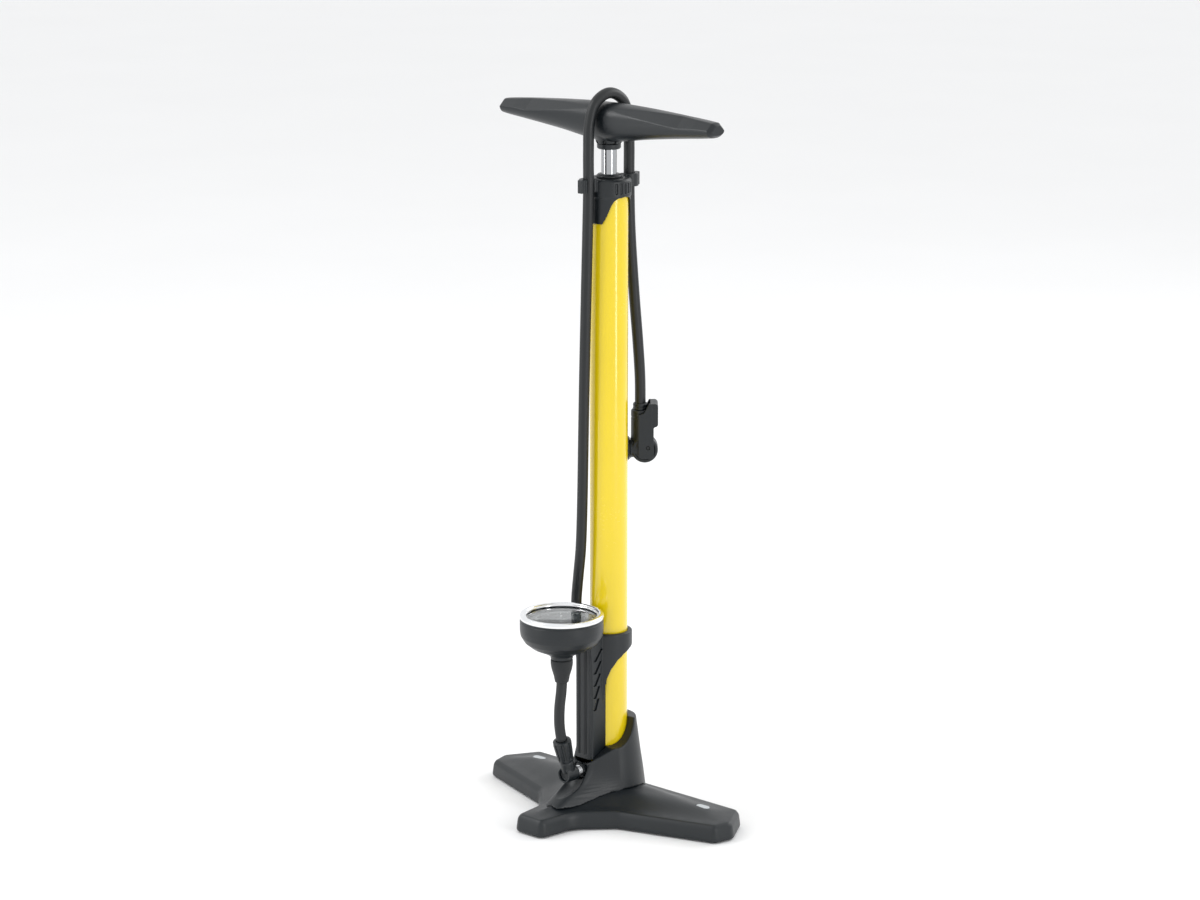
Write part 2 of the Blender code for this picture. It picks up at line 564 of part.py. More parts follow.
def make_gauge():
    inner = [(35.6, 198), (35.6, 180), (34, 178), (4.3, 178), (4.3, 159)]
    turned("gauge_housing", "black_plastic", housing_profile(0) + inner, DIAL_AXIS, sides=ROUND_DIAL)
    socket = turned("gauge_socket", "brass",
                    [(1.2, 142), (4, 142), (4, 178.3), (7, 178.3), (7, 180.8), (1.2, 180.8)], DIAL_AXIS,
                    sides=ROUND_SMALL)
    join(socket, box_tool("socket_arm", (-3.5, 3, 178.4), (3.5, 27, 180.6), DIAL_AXIS),
         box_tool("socket_block", (-3.2, 20, 179), (3.2, 28, 187.5), DIAL_AXIS))
    turned("gauge_boot", "rubber",
           [(2.5, 137), (6.2, 137), (6.9, 140), (9.2, 150), (10.2, 156), (10.3, 158.7), (4.3, 158.7), (4.3, 141),
            (2.5, 141)], DIAL_AXIS, sides=ROUND_MID)
    bend = [Vector((x * MM, GAUGE_Y + y * MM, 184 * MM)) for x, y in arc((0, 0), 24, 102, 372, 22)]
    tube("bourdon_tube", "brass", bend, 2.2 * MM, resolution=1)
    plate = rounded([(-17, -12, 4), (8, -12, 4), (8, 16, 4), (-17, 16, 4)])
    prism("movement_plate", "brass", plate, 181.3, 182.3, DIAL_AXIS)
    turned("dial", "dial", [(2, 190), (34.8, 190), (34.8, 191), (2, 191)], DIAL_AXIS, sides=ROUND_DIAL)
    needle = turned("needle", "needle",
                    [(0, 182.6), (1.1, 182.6), (1.1, 184), (2.2, 184), (2.2, 187), (1.1, 187), (1.1, 192.4),
                     (3, 192.4), (3, 194.8), (0, 194.8)], DIAL_AXIS, sides=ROUND_SMALL, closed=False)
    blade = [(-0.9, -8), (0.9, -8), (1.1, 0), (0.35, 27), (-0.35, 27), (-1.1, 0)]
    join(needle, prism("needle_blade", None, blade, 193, 193.7, DIAL_AXIS, (0, 0, math.radians(135))))
    fan = list(arc((0, 0), 7.5, -85, 5, 10)) + list(arc((0, 0), 2.2, 50, 230, 6))
    prism("sector_gear", "brass", fan, 184.6, 186.4, (-10 * MM, GAUGE_Y, 0))
    turned("gauge_lens", "glass", [(0, 196.8), (35.2, 196.8), (35.2, 199), (0, 199)], DIAL_AXIS, sides=ROUND_DIAL,
           closed=False)
    turned("gauge_bezel", "bezel_metal",
           [(38.4, 198.3), (38.6, 200.6), (37.6, 202.2), (36, 202.6), (32.4, 200.9), (32.3, 199.3), (35.6, 199.3),
            (35.6, 198.3)], DIAL_AXIS, sides=ROUND_DIAL)


def make_port():
    """Outlet of the main hose, on the housing's back left."""
    place = (PORT_X, PORT_Y, 0)
    port = turned("hose_port", "black_plastic",
                  [(1.5, 172), (6.4, 172), (7, 173), (7, 186), (6.4, 188), (1.5, 188)], place, sides=ROUND_MID)
    reach = math.degrees(math.atan2(GAUGE_Y - PORT_Y, -PORT_X))
    arm = box_tool("port_arm", (4, -4.5, 182), (14, 4.5, 187.6), place)
    arm.rotation_euler = (0, 0, math.radians(reach))
    join(port, arm)
    cut(port, turned("port_room", None, [(0, 150)] + housing_profile(0.3) + [(38.6, 230), (0, 230)], DIAL_AXIS,
                     sides=ROUND_DIAL, closed=False))


# ---------------------------------------------------------------- hose and head
def make_head():
    neck_place = (*HOSE_END, HEAD_CENTRE.z)
    body = turned("head_body", "black_plastic",
                  [(0, -8), (11.2, -8), (12.2, -7), (12.2, 7), (11.2, 8), (0, 8)], HEAD_CENTRE, TO_SIDE, ROUND,
                  closed=False)
    barrel = turned("head_barrel", None,
                    [(0, -3), (8.4, -3), (8.4, 12.4), (9.6, 13), (9.6, 13.4), (7.6, 13.4), (7.6, 16.8), (0, 16.8)],
                    HEAD_CENTRE, TO_BARREL, ROUND_MID, closed=False)
    neck = turned("head_neck", None, [(0, 2), (8.6, 2), (8.6, 36), (7.8, 37), (0, 37)], neck_place,
                  sides=ROUND_MID, closed=False)
    join(body, barrel, neck)
    cut(body, rod_tool("head_chamber", 6, 0.4, 30, HEAD_CENTRE, TO_BARREL, ROUND_MID),
        rod_tool("air_way", 2, 3, 50, neck_place, sides=ROUND_SMALL),
        rod_tool("pin_way", 1.8, -14, 14, LEVER_PIN, TO_SIDE, ROUND_SMALL))
    turned("head_plunger", "brass", [(0, 0.8), (5.6, 0.8), (5.6, 6.4), (0, 6.4)], HEAD_CENTRE, TO_BARREL, ROUND_MID,
           closed=False)
    turned("head_gasket", "rubber", [(3.9, 10), (5.7, 10), (5.7, 16.6), (3.9, 16.6)], HEAD_CENTRE, TO_BARREL,
           ROUND_MID)
    turned("nozzle_ring", "black_plastic",
           [(7.9, 13.7), (9.8, 13.7), (10.4, 14.4), (10.4, 17.4), (9.6, 18.4), (4.4, 18.4), (4.4, 17.1), (7.9, 17.1)],
           HEAD_CENTRE, TO_BARREL, ROUND_MID)
    turned("head_ferrule", "steel", [(5.4, 378.3), (6.8, 378.3), (6.8, 383), (6.2, 384), (5.4, 384)],
           (*HOSE_END, 0), sides=ROUND_MID)
    turned("lever_pin", "steel", [(0, -11.2), (1.5, -11.2), (1.5, 11.2), (0, 11.2)], LEVER_PIN, TO_SIDE,
           ROUND_SMALL, closed=False)
    make_lever()


def make_lever():
    """Locking lever, folded up along the hose: two side plates, a spine and a thumb tab; its origin is on its pin."""
    plate = list(arc((-6, -7.1), 3, 180, 270, 3)) + list(arc((2.2, -7.1), 3, 270, 360, 3))
    tab = [(5.2, 19.5)] + list(arc((6.2, 22.5), 3, 270, 360, 3)) + list(arc((6.2, 38.5), 3, 0, 90, 3))
    top = [(1, 41.5), (-2, 36), (-4, 32.5), (-9, 31)]
    lever = prism("head_lever", "black_plastic", plate + tab + top, -11.6, 11.6, LEVER_PIN, TO_SIDE)
    way = [(-15, -20), (25, -20), (25, 10.5), (2.2, 10.5), (2.2, 60), (-15, 60)]
    cut(lever, prism("lever_way", None, way, -9, 9, LEVER_PIN, TO_SIDE),
        rod_tool("lever_pin_way", 1.8, -14, 14, LEVER_PIN, TO_SIDE, ROUND_SMALL))


def make_hose():
    tube("main_hose", "rubber", smooth_route(on_barrel(MAIN_ROUTE), HOSE_STEP), HOSE_R)


clear_scene()
make_base()
make_cowl()
make_valve()
make_outlet()
make_barrel()
make_cap()
make_handle()
make_piston()
make_stand()
make_gauge()
make_port()
make_head()
make_hose()
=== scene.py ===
"""Looks of the floor bike pump: finished meshes, materials, floor, light and camera."""

import math

import bmesh
import bpy
from mathutils import Matrix, Vector
from mathutils.geometry import delaunay_2d_cdt


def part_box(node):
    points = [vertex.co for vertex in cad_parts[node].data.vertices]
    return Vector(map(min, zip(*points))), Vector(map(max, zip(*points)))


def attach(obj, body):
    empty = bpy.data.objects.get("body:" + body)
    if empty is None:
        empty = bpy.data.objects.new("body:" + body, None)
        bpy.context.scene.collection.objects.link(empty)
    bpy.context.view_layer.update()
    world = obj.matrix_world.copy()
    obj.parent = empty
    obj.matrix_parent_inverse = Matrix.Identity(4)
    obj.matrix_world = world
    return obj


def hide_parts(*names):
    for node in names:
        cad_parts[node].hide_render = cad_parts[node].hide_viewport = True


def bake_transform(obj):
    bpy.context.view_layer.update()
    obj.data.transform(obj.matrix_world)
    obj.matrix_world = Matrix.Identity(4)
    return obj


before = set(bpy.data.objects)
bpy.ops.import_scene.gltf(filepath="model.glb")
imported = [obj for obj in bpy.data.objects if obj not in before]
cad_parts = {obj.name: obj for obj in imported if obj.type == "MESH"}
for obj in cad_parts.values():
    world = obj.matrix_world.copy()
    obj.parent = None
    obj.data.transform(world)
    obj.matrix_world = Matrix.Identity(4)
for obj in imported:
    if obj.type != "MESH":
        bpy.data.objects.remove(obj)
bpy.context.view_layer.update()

MM = 0.001


def middle(node):
    """Centre of a CAD node's box, in mm."""
    low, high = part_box(node)
    return (low + high) / 2 / MM


BARREL_Y = middle("barrel").y               # everything below is in mm, from the floor's middle
BARREL_R = (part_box("barrel")[1].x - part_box("barrel")[0].x) / 2 / MM
BARREL_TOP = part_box("barrel")[1].z / MM
BORE_R = 15.5
GAUGE_Y = middle("gauge_bezel").y
HOSE_END = middle("head_ferrule").xy
HEAD_TURN = math.radians(42.5)              # the nozzle points from -X towards -Y by this much
HEAD_PIN = middle("lever_pin")
HEAD_CENTRE = HEAD_PIN - Vector((3 * math.cos(HEAD_TURN), 3 * math.sin(HEAD_TURN), 2.5))
OUTLET_Z = 46
ELBOW_Y = BARREL_Y - 54
COLLAR_LEAN = math.radians(16)
HOSE_R = 5
CLEAR = 0.3                                 # room between a bore and the barrel in it
CLIP_Y = 27                                 # the hose clips sit this far before and behind the barrel's axis
CLAMP_Z = 167
PORT_X, PORT_Y = -18.5, BARREL_Y - 23.8     # where the hose leaves the gauge
ON_BARREL = Matrix.Translation((0, BARREL_Y, 0))
ON_GAUGE = Matrix.Translation((0, GAUGE_Y, 0))
TO_FRONT = Matrix.Rotation(math.pi / 2, 4, "X")         # local +Z to -Y
TO_BACK = Matrix.Rotation(-math.pi / 2, 4, "X")         # local +Z to +Y
TURNED = Matrix.Rotation(HEAD_TURN, 4, "Z")
ALONG_OUTLET = ON_BARREL @ Matrix.Translation((0, 0, OUTLET_Z)) @ TO_FRONT
ALONG_CLAMP = ON_BARREL @ Matrix.Translation((0, 0, CLAMP_Z)) @ TO_BACK
ALONG_NOZZLE = Matrix.Translation(HEAD_CENTRE) @ TURNED @ Matrix.Rotation(-math.pi / 2, 4, "Y")
ALONG_DRUM = Matrix.Translation(HEAD_CENTRE) @ TURNED @ TO_FRONT
ALONG_PIN = Matrix.Translation(HEAD_PIN) @ TURNED @ TO_FRONT
UPRIGHT_YZ = Matrix(((0, 0, 1, 0), (1, 0, 0, 0), (0, 1, 0, 0), (0, 0, 0, 1)))   # outline x, y to Y, Z


# ---------------------------------------------------------------- camera
CAMERA_TURN = math.radians(42.5)
CAMERA_FAR = 3.0
CAMERA_HIGH = 1.056
CAMERA_PITCH = math.radians(13.35)
CAMERA_YAW = math.atan(9 / 3367)
LENS = 101.0


def make_camera():
    side, front = math.sin(CAMERA_TURN), math.cos(CAMERA_TURN)
    camera = bpy.data.objects.new("camera", bpy.data.cameras.new("camera"))
    bpy.context.scene.collection.objects.link(camera)
    camera.data.lens = LENS
    camera.data.clip_end = 100
    camera.location = (CAMERA_FAR * side, -CAMERA_FAR * front + BARREL_Y * MM, CAMERA_HIGH)
    ahead = Vector((-side, front, 0)) * math.cos(CAMERA_YAW) - Vector((front, side, 0)) * math.sin(CAMERA_YAW)
    aim = ahead * math.cos(CAMERA_PITCH) + Vector((0, 0, -math.sin(CAMERA_PITCH)))
    camera.rotation_euler = aim.to_track_quat("-Z", "Y").to_euler()
    bpy.context.scene.camera = camera


# ---------------------------------------------------------------- materials
class Nodes:
    """Short ways to add and join shader nodes."""

    def __init__(self, name):
        self.material = bpy.data.materials.new(name)
        self.material.use_nodes = True
        self.tree = self.material.node_tree
        self.shader = self.tree.nodes["Principled BSDF"]

    def add(self, kind, **settings):
        node = self.tree.nodes.new("ShaderNode" + kind)
        for key, value in settings.items():
            setattr(node, key, value)
        return node

    def link(self, out, into):
        self.tree.links.new(out, into)

    def noise(self, where, scale, detail=3.0):
        node = self.add("TexNoise")
        node.inputs["Scale"].default_value = scale
        node.inputs["Detail"].default_value = detail
        self.link(where, node.inputs["Vector"])
        return node.outputs["Fac"]

    def spread(self, value, low, high, out_low, out_high):
        node = self.add("MapRange")
        for key, number in (("From Min", low), ("From Max", high), ("To Min", out_low), ("To Max", out_high)):
            node.inputs[key].default_value = number
        self.link(value, node.inputs["Value"])
        return node.outputs["Result"]

    def mix(self, share, a, b):
        node = self.add("Mix", data_type="RGBA")
        self.link(share, node.inputs["Factor"])
        for socket, value in ((node.inputs[6], a), (node.inputs[7], b)):
            if isinstance(value, tuple):
                socket.default_value = (*value, 1.0)
            else:
                self.link(value, socket)
        return node.outputs[2]


def shade(colour, factor):
    return tuple(min(1.0, part * factor) for part in colour)


def stretched(nodes, about, stretch):
    """Object coordinates, stretched, or turned into distance from an upright axis."""
    where = nodes.add("TexCoord").outputs["Object"]
    if about:
        flat = nodes.add("VectorMath", operation="MULTIPLY_ADD")
        flat.inputs[1].default_value = (1, 1, 0)
        flat.inputs[2].default_value = (-about[0], -about[1], 0)
        nodes.link(where, flat.inputs[0])
        length = nodes.add("VectorMath", operation="LENGTH")
        nodes.link(flat.outputs[0], length.inputs[0])
        return length.outputs["Value"]
    mapping = nodes.add("Mapping")
    mapping.inputs["Scale"].default_value = stretch
    nodes.link(where, mapping.inputs["Vector"])
    return mapping.outputs["Vector"]


def surface(name, colour, roughness, metallic=0.0, grain=900, depth=0.06, mottle=0.08, patch=45, vary=0.06,
            wear=0.0, worn=None, about=None, stretch=(1, 1, 1), **sockets):
    """A surface with fine grain in its relief, patches in its gloss and tone, and paler edges."""
    nodes = Nodes(name)
    where = nodes.add("TexCoord").outputs["Object"]
    fine = nodes.noise(stretched(nodes, about, stretch), grain)
    broad = nodes.noise(where, patch, 5.0)
    patches = nodes.spread(broad, 0.3, 0.7, 0, 1)
    tone = nodes.mix(patches, shade(colour, 1 - mottle), shade(colour, 1 + mottle))
    if wear:
        edge = nodes.spread(nodes.add("NewGeometry").outputs["Pointiness"], 0.515, 0.60, 0, wear)
        tone = nodes.mix(edge, tone, worn or shade(colour, 3))
    nodes.link(tone, nodes.shader.inputs["Base Color"])
    both = nodes.add("Math", operation="MULTIPLY")
    nodes.link(fine, both.inputs[0])
    nodes.link(broad, both.inputs[1])
    gloss = nodes.spread(both.outputs[0], 0.1, 0.4, roughness - vary, roughness + vary)
    nodes.link(gloss, nodes.shader.inputs["Roughness"])
    bump = nodes.add("Bump")
    bump.inputs["Strength"].default_value = depth
    bump.inputs["Distance"].default_value = MM
    nodes.link(fine, bump.inputs["Height"])
    nodes.link(bump.outputs["Normal"], nodes.shader.inputs["Normal"])
    nodes.shader.inputs["Metallic"].default_value = metallic
    for key, value in sockets.items():
        nodes.shader.inputs[key.replace("_", " ")].default_value = value
    return nodes.material


PLASTIC = (0.0040, 0.0068, 0.0090)
RUBBER = (0.0040, 0.0056, 0.0068)


def make_looks():
    gauge_axis = (0, GAUGE_Y * MM)
    return {
        "plastic": surface("moulded_plastic", PLASTIC, 0.40, grain=1500, depth=0.10, wear=0.22,
                           worn=(0.022, 0.032, 0.038)),
        "handle_plastic": surface("handle_plastic", PLASTIC, 0.36, grain=2200, depth=0.07, wear=0.25,
                                  worn=(0.022, 0.032, 0.038)),
        "paint": surface("yellow_enamel", (0.78, 0.58, 0.002), 0.24, grain=420, depth=0.018, mottle=0.025,
                         patch=12, vary=0.04, Coat_Weight=0.7, Coat_Roughness=0.06),
        "chrome": surface("plated_rod", (0.42, 0.43, 0.44), 0.12, 1.0, grain=60, depth=0.012, mottle=0.03,
                          vary=0.05, stretch=(1, 1, 60)),
        "steel": surface("zinc_steel", (0.55, 0.56, 0.57), 0.30, 1.0, grain=700, depth=0.03, mottle=0.06,
                         vary=0.08),
        "bezel": surface("turned_bezel", (0.86, 0.87, 0.88), 0.20, 1.0, grain=5200, depth=0.02, mottle=0.03,
                         vary=0.07, about=gauge_axis),
        "rubber": surface("soft_rubber", RUBBER, 0.62, grain=1300, depth=0.14, mottle=0.15, vary=0.07,
                          Sheen_Weight=0.12),
        "hose": surface("hose_rubber", RUBBER, 0.44, grain=900, depth=0.07, mottle=0.12, patch=70, vary=0.07),
        "brass": surface("machined_brass", (0.66, 0.46, 0.18), 0.28, 1.0, grain=1400, depth=0.03, mottle=0.08,
                         vary=0.08),
        "dial": surface("dial_face", (0.105, 0.125, 0.135), 0.42, grain=2600, depth=0.03, mottle=0.05),
        "print": surface("dial_print", (0.78, 0.80, 0.80), 0.5, grain=2600, depth=0.02, mottle=0.03),
        "band": surface("dial_band", (0.34, 0.37, 0.38), 0.45, grain=2600, depth=0.02, mottle=0.03),
        "needle": surface("needle_paint", (0.82, 0.82, 0.80), 0.35, grain=1800, depth=0.02, mottle=0.03),
        "inlay": surface("grey_inlay", (0.52, 0.55, 0.57), 0.30, 0.25, grain=1800, depth=0.03, mottle=0.04),
        # painted shade: near-black plastic standing for the shaded hole around the hinge pin
        "painted_hole_shade": surface("shadow_plastic", (0.006, 0.007, 0.008), 0.55, grain=1500, depth=0.08),
        "glass": surface("gauge_glass", (0.97, 0.99, 0.99), 0.03, grain=300, depth=0.002, mottle=0.01,
                         vary=0.015, Transmission_Weight=1.0, IOR=1.45),
        "floor": surface("studio_floor", (0.90, 0.90, 0.90), 0.75, grain=300, depth=0.02, mottle=0.006,
                         patch=3),
    }


# ---------------------------------------------------------------- mesh helpers, all in mm
def new_object(name, bm, place=Matrix()):
    bmesh.ops.remove_doubles(bm, verts=bm.verts, dist=1e-4)
    bmesh.ops.recalc_face_normals(bm, faces=bm.faces)
    bmesh.ops.transform(bm, matrix=Matrix.Scale(MM, 4) @ place, verts=bm.verts)
    mesh = bpy.data.meshes.new(name)
    bm.to_mesh(mesh)
    bm.free()
    obj = bpy.data.objects.new(name, mesh)
    bpy.context.scene.collection.objects.link(obj)
    return obj


def softened(profile, closed, radius=0.35, steps=3):
    """Round every corner of a (radius, height) profile that isn't on the axis."""
    points = [Vector(point) for point in profile]
    out = []
    for i, here in enumerate(points):
        if not closed and i in (0, len(points) - 1):
            out.append(here)
            continue
        before, after = points[i - 1] - here, points[(i + 1) % len(points)] - here
        reach = min(radius, before.length * 0.4, after.length * 0.4)
        a, b = here + before.normalized() * reach, here + after.normalized() * reach
        for k in range(steps + 1):
            t = k / steps
            out.append(a * (1 - t) ** 2 + here * 2 * t * (1 - t) + b * t * t)
    return out


def turned(name, profile, place=Matrix(), sides=96, closed=True, radius=0.35):
    """Spin a (radius, height) profile about local Z, its corners softened."""
    bm = bmesh.new()
    points = [bm.verts.new((max(0, p[0]), 0, p[1])) for p in softened(profile, closed, radius)]
    edges = [bm.edges.new(pair) for pair in zip(points, points[1:])]
    if closed:
        edges.append(bm.edges.new((points[-1], points[0])))
    bmesh.ops.spin(bm, geom=points + edges, axis=(0, 0, 1), cent=(0, 0, 0), steps=sides, angle=2 * math.pi,
                   use_merge=True)
    return new_object(name, bm, place)


def prism(name, outline, low, high, place=Matrix()):
    bm = bmesh.new()
    face = bm.faces.new([bm.verts.new((x, y, low)) for x, y in outline])
    made = bmesh.ops.extrude_face_region(bm, geom=[face])["geom"]
    moved = [item for item in made if isinstance(item, bmesh.types.BMVert)]
    bmesh.ops.translate(bm, verts=moved, vec=(0, 0, high - low))
    return new_object(name, bm, place)


def block(name, low, high, place=Matrix()):
    return prism(name, [(low[0], low[1]), (high[0], low[1]), (high[0], high[1]), (low[0], high[1])],
                 low[2], high[2], place)


def rod(name, radius, low, high, place=Matrix(), sides=64):
    return turned(name, [(0, low), (radius, low), (radius, high), (0, high)], place, sides, closed=False,
                  radius=0)


def skin(bm, rows):
    """Join rows of vertices, each a closed ring, with four-sided faces."""
    for lower, upper in zip(rows, rows[1:]):
        for i in range(len(lower)):
            j = (i + 1) % len(lower)
            bm.faces.new((lower[i], lower[j], upper[j], upper[i]))


def loft(name, rings, place=Matrix()):
    """A closed solid through rings of points."""
    bm = bmesh.new()
    rows = [[bm.verts.new(point) for point in ring] for ring in rings]
    skin(bm, rows)
    bm.faces.new(rows[0])
    bm.faces.new(rows[-1])
    return new_object(name, bm, place)


def arc(centre, radius, start, end, steps):
    points = []
    for i in range(steps + 1):
        angle = math.radians(start + (end - start) * i / steps)
        points.append((centre[0] + radius * math.cos(angle), centre[1] + radius * math.sin(angle)))
    return points


def rounded(corners, steps=10):
    """Round each (x, y, radius) corner of a closed outline with an arc."""
    outline = []
    for i, (x, y, radius) in enumerate(corners):
        here = Vector((x, y))
        before = (Vector(corners[i - 1][:2]) - here).normalized()
        after = (Vector(corners[(i + 1) % len(corners)][:2]) - here).normalized()
        half = before.angle(after) / 2
        centre = here + (before + after).normalized() * (radius / math.sin(half))
        first = here + before * (radius / math.tan(half)) - centre
        last = here + after * (radius / math.tan(half)) - centre
        turn = first.angle_signed(last)
        for k in range(steps + 1):
            point = centre + Matrix.Rotation(-turn * k / steps, 2) @ first
            outline.append((point.x, point.y))
    return outline


def inset(outline, distance):
    moved = []
    for i, point in enumerate(outline):
        here = Vector(point)
        before = (here - Vector(outline[i - 1])).normalized()
        after = (Vector(outline[(i + 1) % len(outline)]) - here).normalized()
        inward = Vector((-before.y - after.y, before.x + after.x)).normalized()
        reach = distance / max(0.4, inward.dot(Vector((-before.y, before.x))))
        moved.append(tuple(here + inward * reach))
    return moved


def even(outline, spacing):
    """The same closed outline with its long sides divided."""
    out = []
    for a, b in zip(outline, outline[1:] + outline[:1]):
        a, b = Vector(a), Vector(b)
        count = max(1, round((b - a).length / spacing))
        out += [tuple(a.lerp(b, k / count)) for k in range(count)]
    return out


def between(table, x):
    """Smooth value at x of a table of (x, values...) rows."""
    rows = sorted(table)
    k = max(0, min(len(rows) - 2, sum(1 for row in rows if row[0] <= x) - 1))
    before, a, b, after = rows[max(0, k - 1)], rows[k], rows[k + 1], rows[min(len(rows) - 1, k + 2)]
    span = b[0] - a[0]
    t = min(1.0, max(0.0, (x - a[0]) / span))
    out = []
    for c in range(1, len(a)):
        slope_a = (b[c] - before[c]) / max(1e-9, b[0] - before[0]) * span
        slope_b = (after[c] - a[c]) / max(1e-9, after[0] - a[0]) * span
        out.append((2 * t ** 3 - 3 * t * t + 1) * a[c] + (t ** 3 - 2 * t * t + t) * slope_a
                   + (3 * t * t - 2 * t ** 3) * b[c] + (t ** 3 - t * t) * slope_b)
    return out


def change(obj, operation, tools):
    """Cut or join an object with others, which are used up."""
    for tool in tools:
        tool.hide_render = True
        step = obj.modifiers.new(tool.name, "BOOLEAN")
        step.operation = operation
        step.solver = "EXACT"
        step.object = tool
    settle(obj)
    for tool in tools:
        bpy.data.objects.remove(tool, do_unlink=True)
    return obj


def cut(obj, *tools):
    return change(obj, "DIFFERENCE", tools)


def join(obj, *tools):
    return change(obj, "UNION", tools)


def settle(obj):
    """Apply an object's modifiers."""
    bpy.context.view_layer.update()
    graph = bpy.context.evaluated_depsgraph_get()
    mesh = bpy.data.meshes.new_from_object(obj.evaluated_get(graph))
    obj.modifiers.clear()
    obj.data = mesh


def moulded(obj, voxel, smooth=3):
    """Turn a cut solid into one even skin with rounded edges, as a moulding has."""
    remesh = obj.modifiers.new("skin", "REMESH")
    remesh.mode = "VOXEL"
    remesh.voxel_size = voxel * MM
    relax = obj.modifiers.new("relax", "SMOOTH")
    relax.factor = 0.5
    relax.iterations = smooth
    settle(obj)
    return obj


def finish(obj, look, body, slot, *nodes, angle=40):
    """Give a piece its material, its CAD body and what it stands for."""
    obj.data.materials.clear()
    obj.data.materials.append(LOOKS[look])
    obj.data.shade_smooth()
    if angle:
        obj.data.set_sharp_from_angle(angle=math.radians(angle))
    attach(obj, body)
    if nodes:
        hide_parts(*nodes)
    return obj


# ---------------------------------------------------------------- hoses
MAIN_ROUTE = [
    (-18.5, -23.8, 188.3), (-18.5, -23.8, 205), (-14.6, -25.2, 229), (-10.8, -26, 256), (-8.6, -26.4, 298),
    (-7.1, -26.7, 350), (-5.4, -27, 410), (-3.2, -27, 484), (-1.1, -27, 550), (0, -27, 590), (0, -27, 622),
    (0, -25.8, 646), (0, -18, 664.2), (0, 0, 672), (0, 18, 664.2), (0, 25.8, 646), (0, 27, 622),
    (0, 27, 590), (1.0, 27.5, 545), (4.0, 29.6, 488), (6.7, 32.1, 441), (7.4, 34.3, 408), (7.3, 34.9, 378.3),
]
MOULD_LINE = 0.12               # depth of the seam left by the hose's mould
FEED_ROUTE = [
    (0, -63.5, 136.2), (0, -64.4, 127), (0, -66.6, 113), (0, -67, 99), (0, -65.6, 88),
]


def smooth_route(points, spacing):
    """Even points along a smooth curve through given points, in mm."""
    knots = [Vector(point) for point in points]
    knots = [knots[0] * 2 - knots[1]] + knots + [knots[-1] * 2 - knots[-2]]
    fine = []
    for a, b, c, d in zip(knots, knots[1:], knots[2:], knots[3:]):
        for k in range(24):
            t = k / 24
            fine.append(0.5 * ((2 * b) + (c - a) * t + (2 * a - 5 * b + 4 * c - d) * t ** 2
                               + (3 * b - a - 3 * c + d) * t ** 3))
    fine.append(knots[-2])
    run = [0.0]
    for a, b in zip(fine, fine[1:]):
        run.append(run[-1] + (b - a).length)
    count = max(2, round(run[-1] / spacing))
    out, k = [], 0
    for i in range(count + 1):
        wanted = run[-1] * i / count
        while k < len(run) - 2 and run[k + 1] < wanted:
            k += 1
        out.append(fine[k].lerp(fine[k + 1], min(1.0, (wanted - run[k]) / (run[k + 1] - run[k]))))
    return out


def hose(name, path, radius, sides=28):
    """A round tube along a path, with a faint moulding line on two sides."""
    rings = []
    across = None
    for i, point in enumerate(path):
        ahead = (path[min(i + 1, len(path) - 1)] - path[max(i - 1, 0)]).normalized()
        if across is None:
            across = ahead.orthogonal().normalized()
        across = (across - ahead * across.dot(ahead)).normalized()
        other = ahead.cross(across)
        ring = []
        for k in range(sides):
            angle = 2 * math.pi * k / sides
            reach = radius - (MOULD_LINE if k % (sides // 2) == 0 else 0)
            ring.append(point + (across * math.cos(angle) + other * math.sin(angle)) * reach)
        rings.append(ring)
    return loft(name, rings)


def make_main_hose(head_pieces):
    path = smooth_route([(x, BARREL_Y + y, z) for x, y, z in MAIN_ROUTE], 2.5)
    obj = hose("hose", path, HOSE_R)
    obj.data.materials.append(LOOKS["hose"])
    obj.data.shade_smooth()
    obj.data.set_sharp_from_angle(angle=math.radians(50))
    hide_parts("main_hose")
    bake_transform(obj)


def make_feed_hose():
    top = Vector((0, ELBOW_Y, OUTLET_Z)) + Matrix.Rotation(COLLAR_LEAN, 3, "X") @ Vector((0, 0, 33.3))
    route = [(x, BARREL_Y + y, z) for x, y, z in FEED_ROUTE] + [tuple(top)]
    line = hose("feed_line", smooth_route(route, 2), HOSE_R)
    finish(line, "hose", "root", "hose_rubber", "feed_hose", angle=50)


# ---------------------------------------------------------------- base
# (x, y, rounding) of the right half of the base's outline, then (inset, height) of its rings
BASE_CORNERS = [(17.5, -110, 8), (22, -72, 26), (50, -43, 14), (142, -12, 7), (147, 8, 11), (127.5, 42, 9)]
BASE_EDGE = 17
BASE_RISE = 13
INLAY_X, INLAY_Y = 104, 15
BASE_RINGS = [(1.5, 1.2), (0.5, 1.7), (0.1, 2.7), (0.2, 5), (0.7, 9), (1.1, 12.0), (1.35, 12.9), (1.9, 13.9),
              (2.9, 15.4), (3.7, 16.2), (4.6, 16.75), (5.6, 17.0)]


def base_outline():
    mirrored = [(-x, y, radius) for x, y, radius in reversed(BASE_CORNERS)]
    return even(rounded(BASE_CORNERS + mirrored), 5)


def rim_distance(point, rim):
    nearest = 1e9
    for a, b in zip(rim, rim[1:] + rim[:1]):
        side = b - a
        share = min(1.0, max(0.0, (point - a).dot(side) / side.length_squared))
        nearest = min(nearest, (point - a - side * share).length)
    return nearest


def base_height(point, rim):
    """The top rises from its rim towards the barrel."""
    share = min(1.0, rim_distance(point, rim) / 30)
    return BASE_EDGE + BASE_RISE * share * share * (3 - 2 * share) * max(0.0, 1 - point.length / 165)


def inside(point, rim):
    crossings = 0
    for a, b in zip(rim, rim[1:] + rim[:1]):
        if (a.y > point.y) != (b.y > point.y) and point.x < (b.x - a.x) * (point.y - a.y) / (b.y - a.y) + a.x:
            crossings += 1
    return crossings % 2 == 1


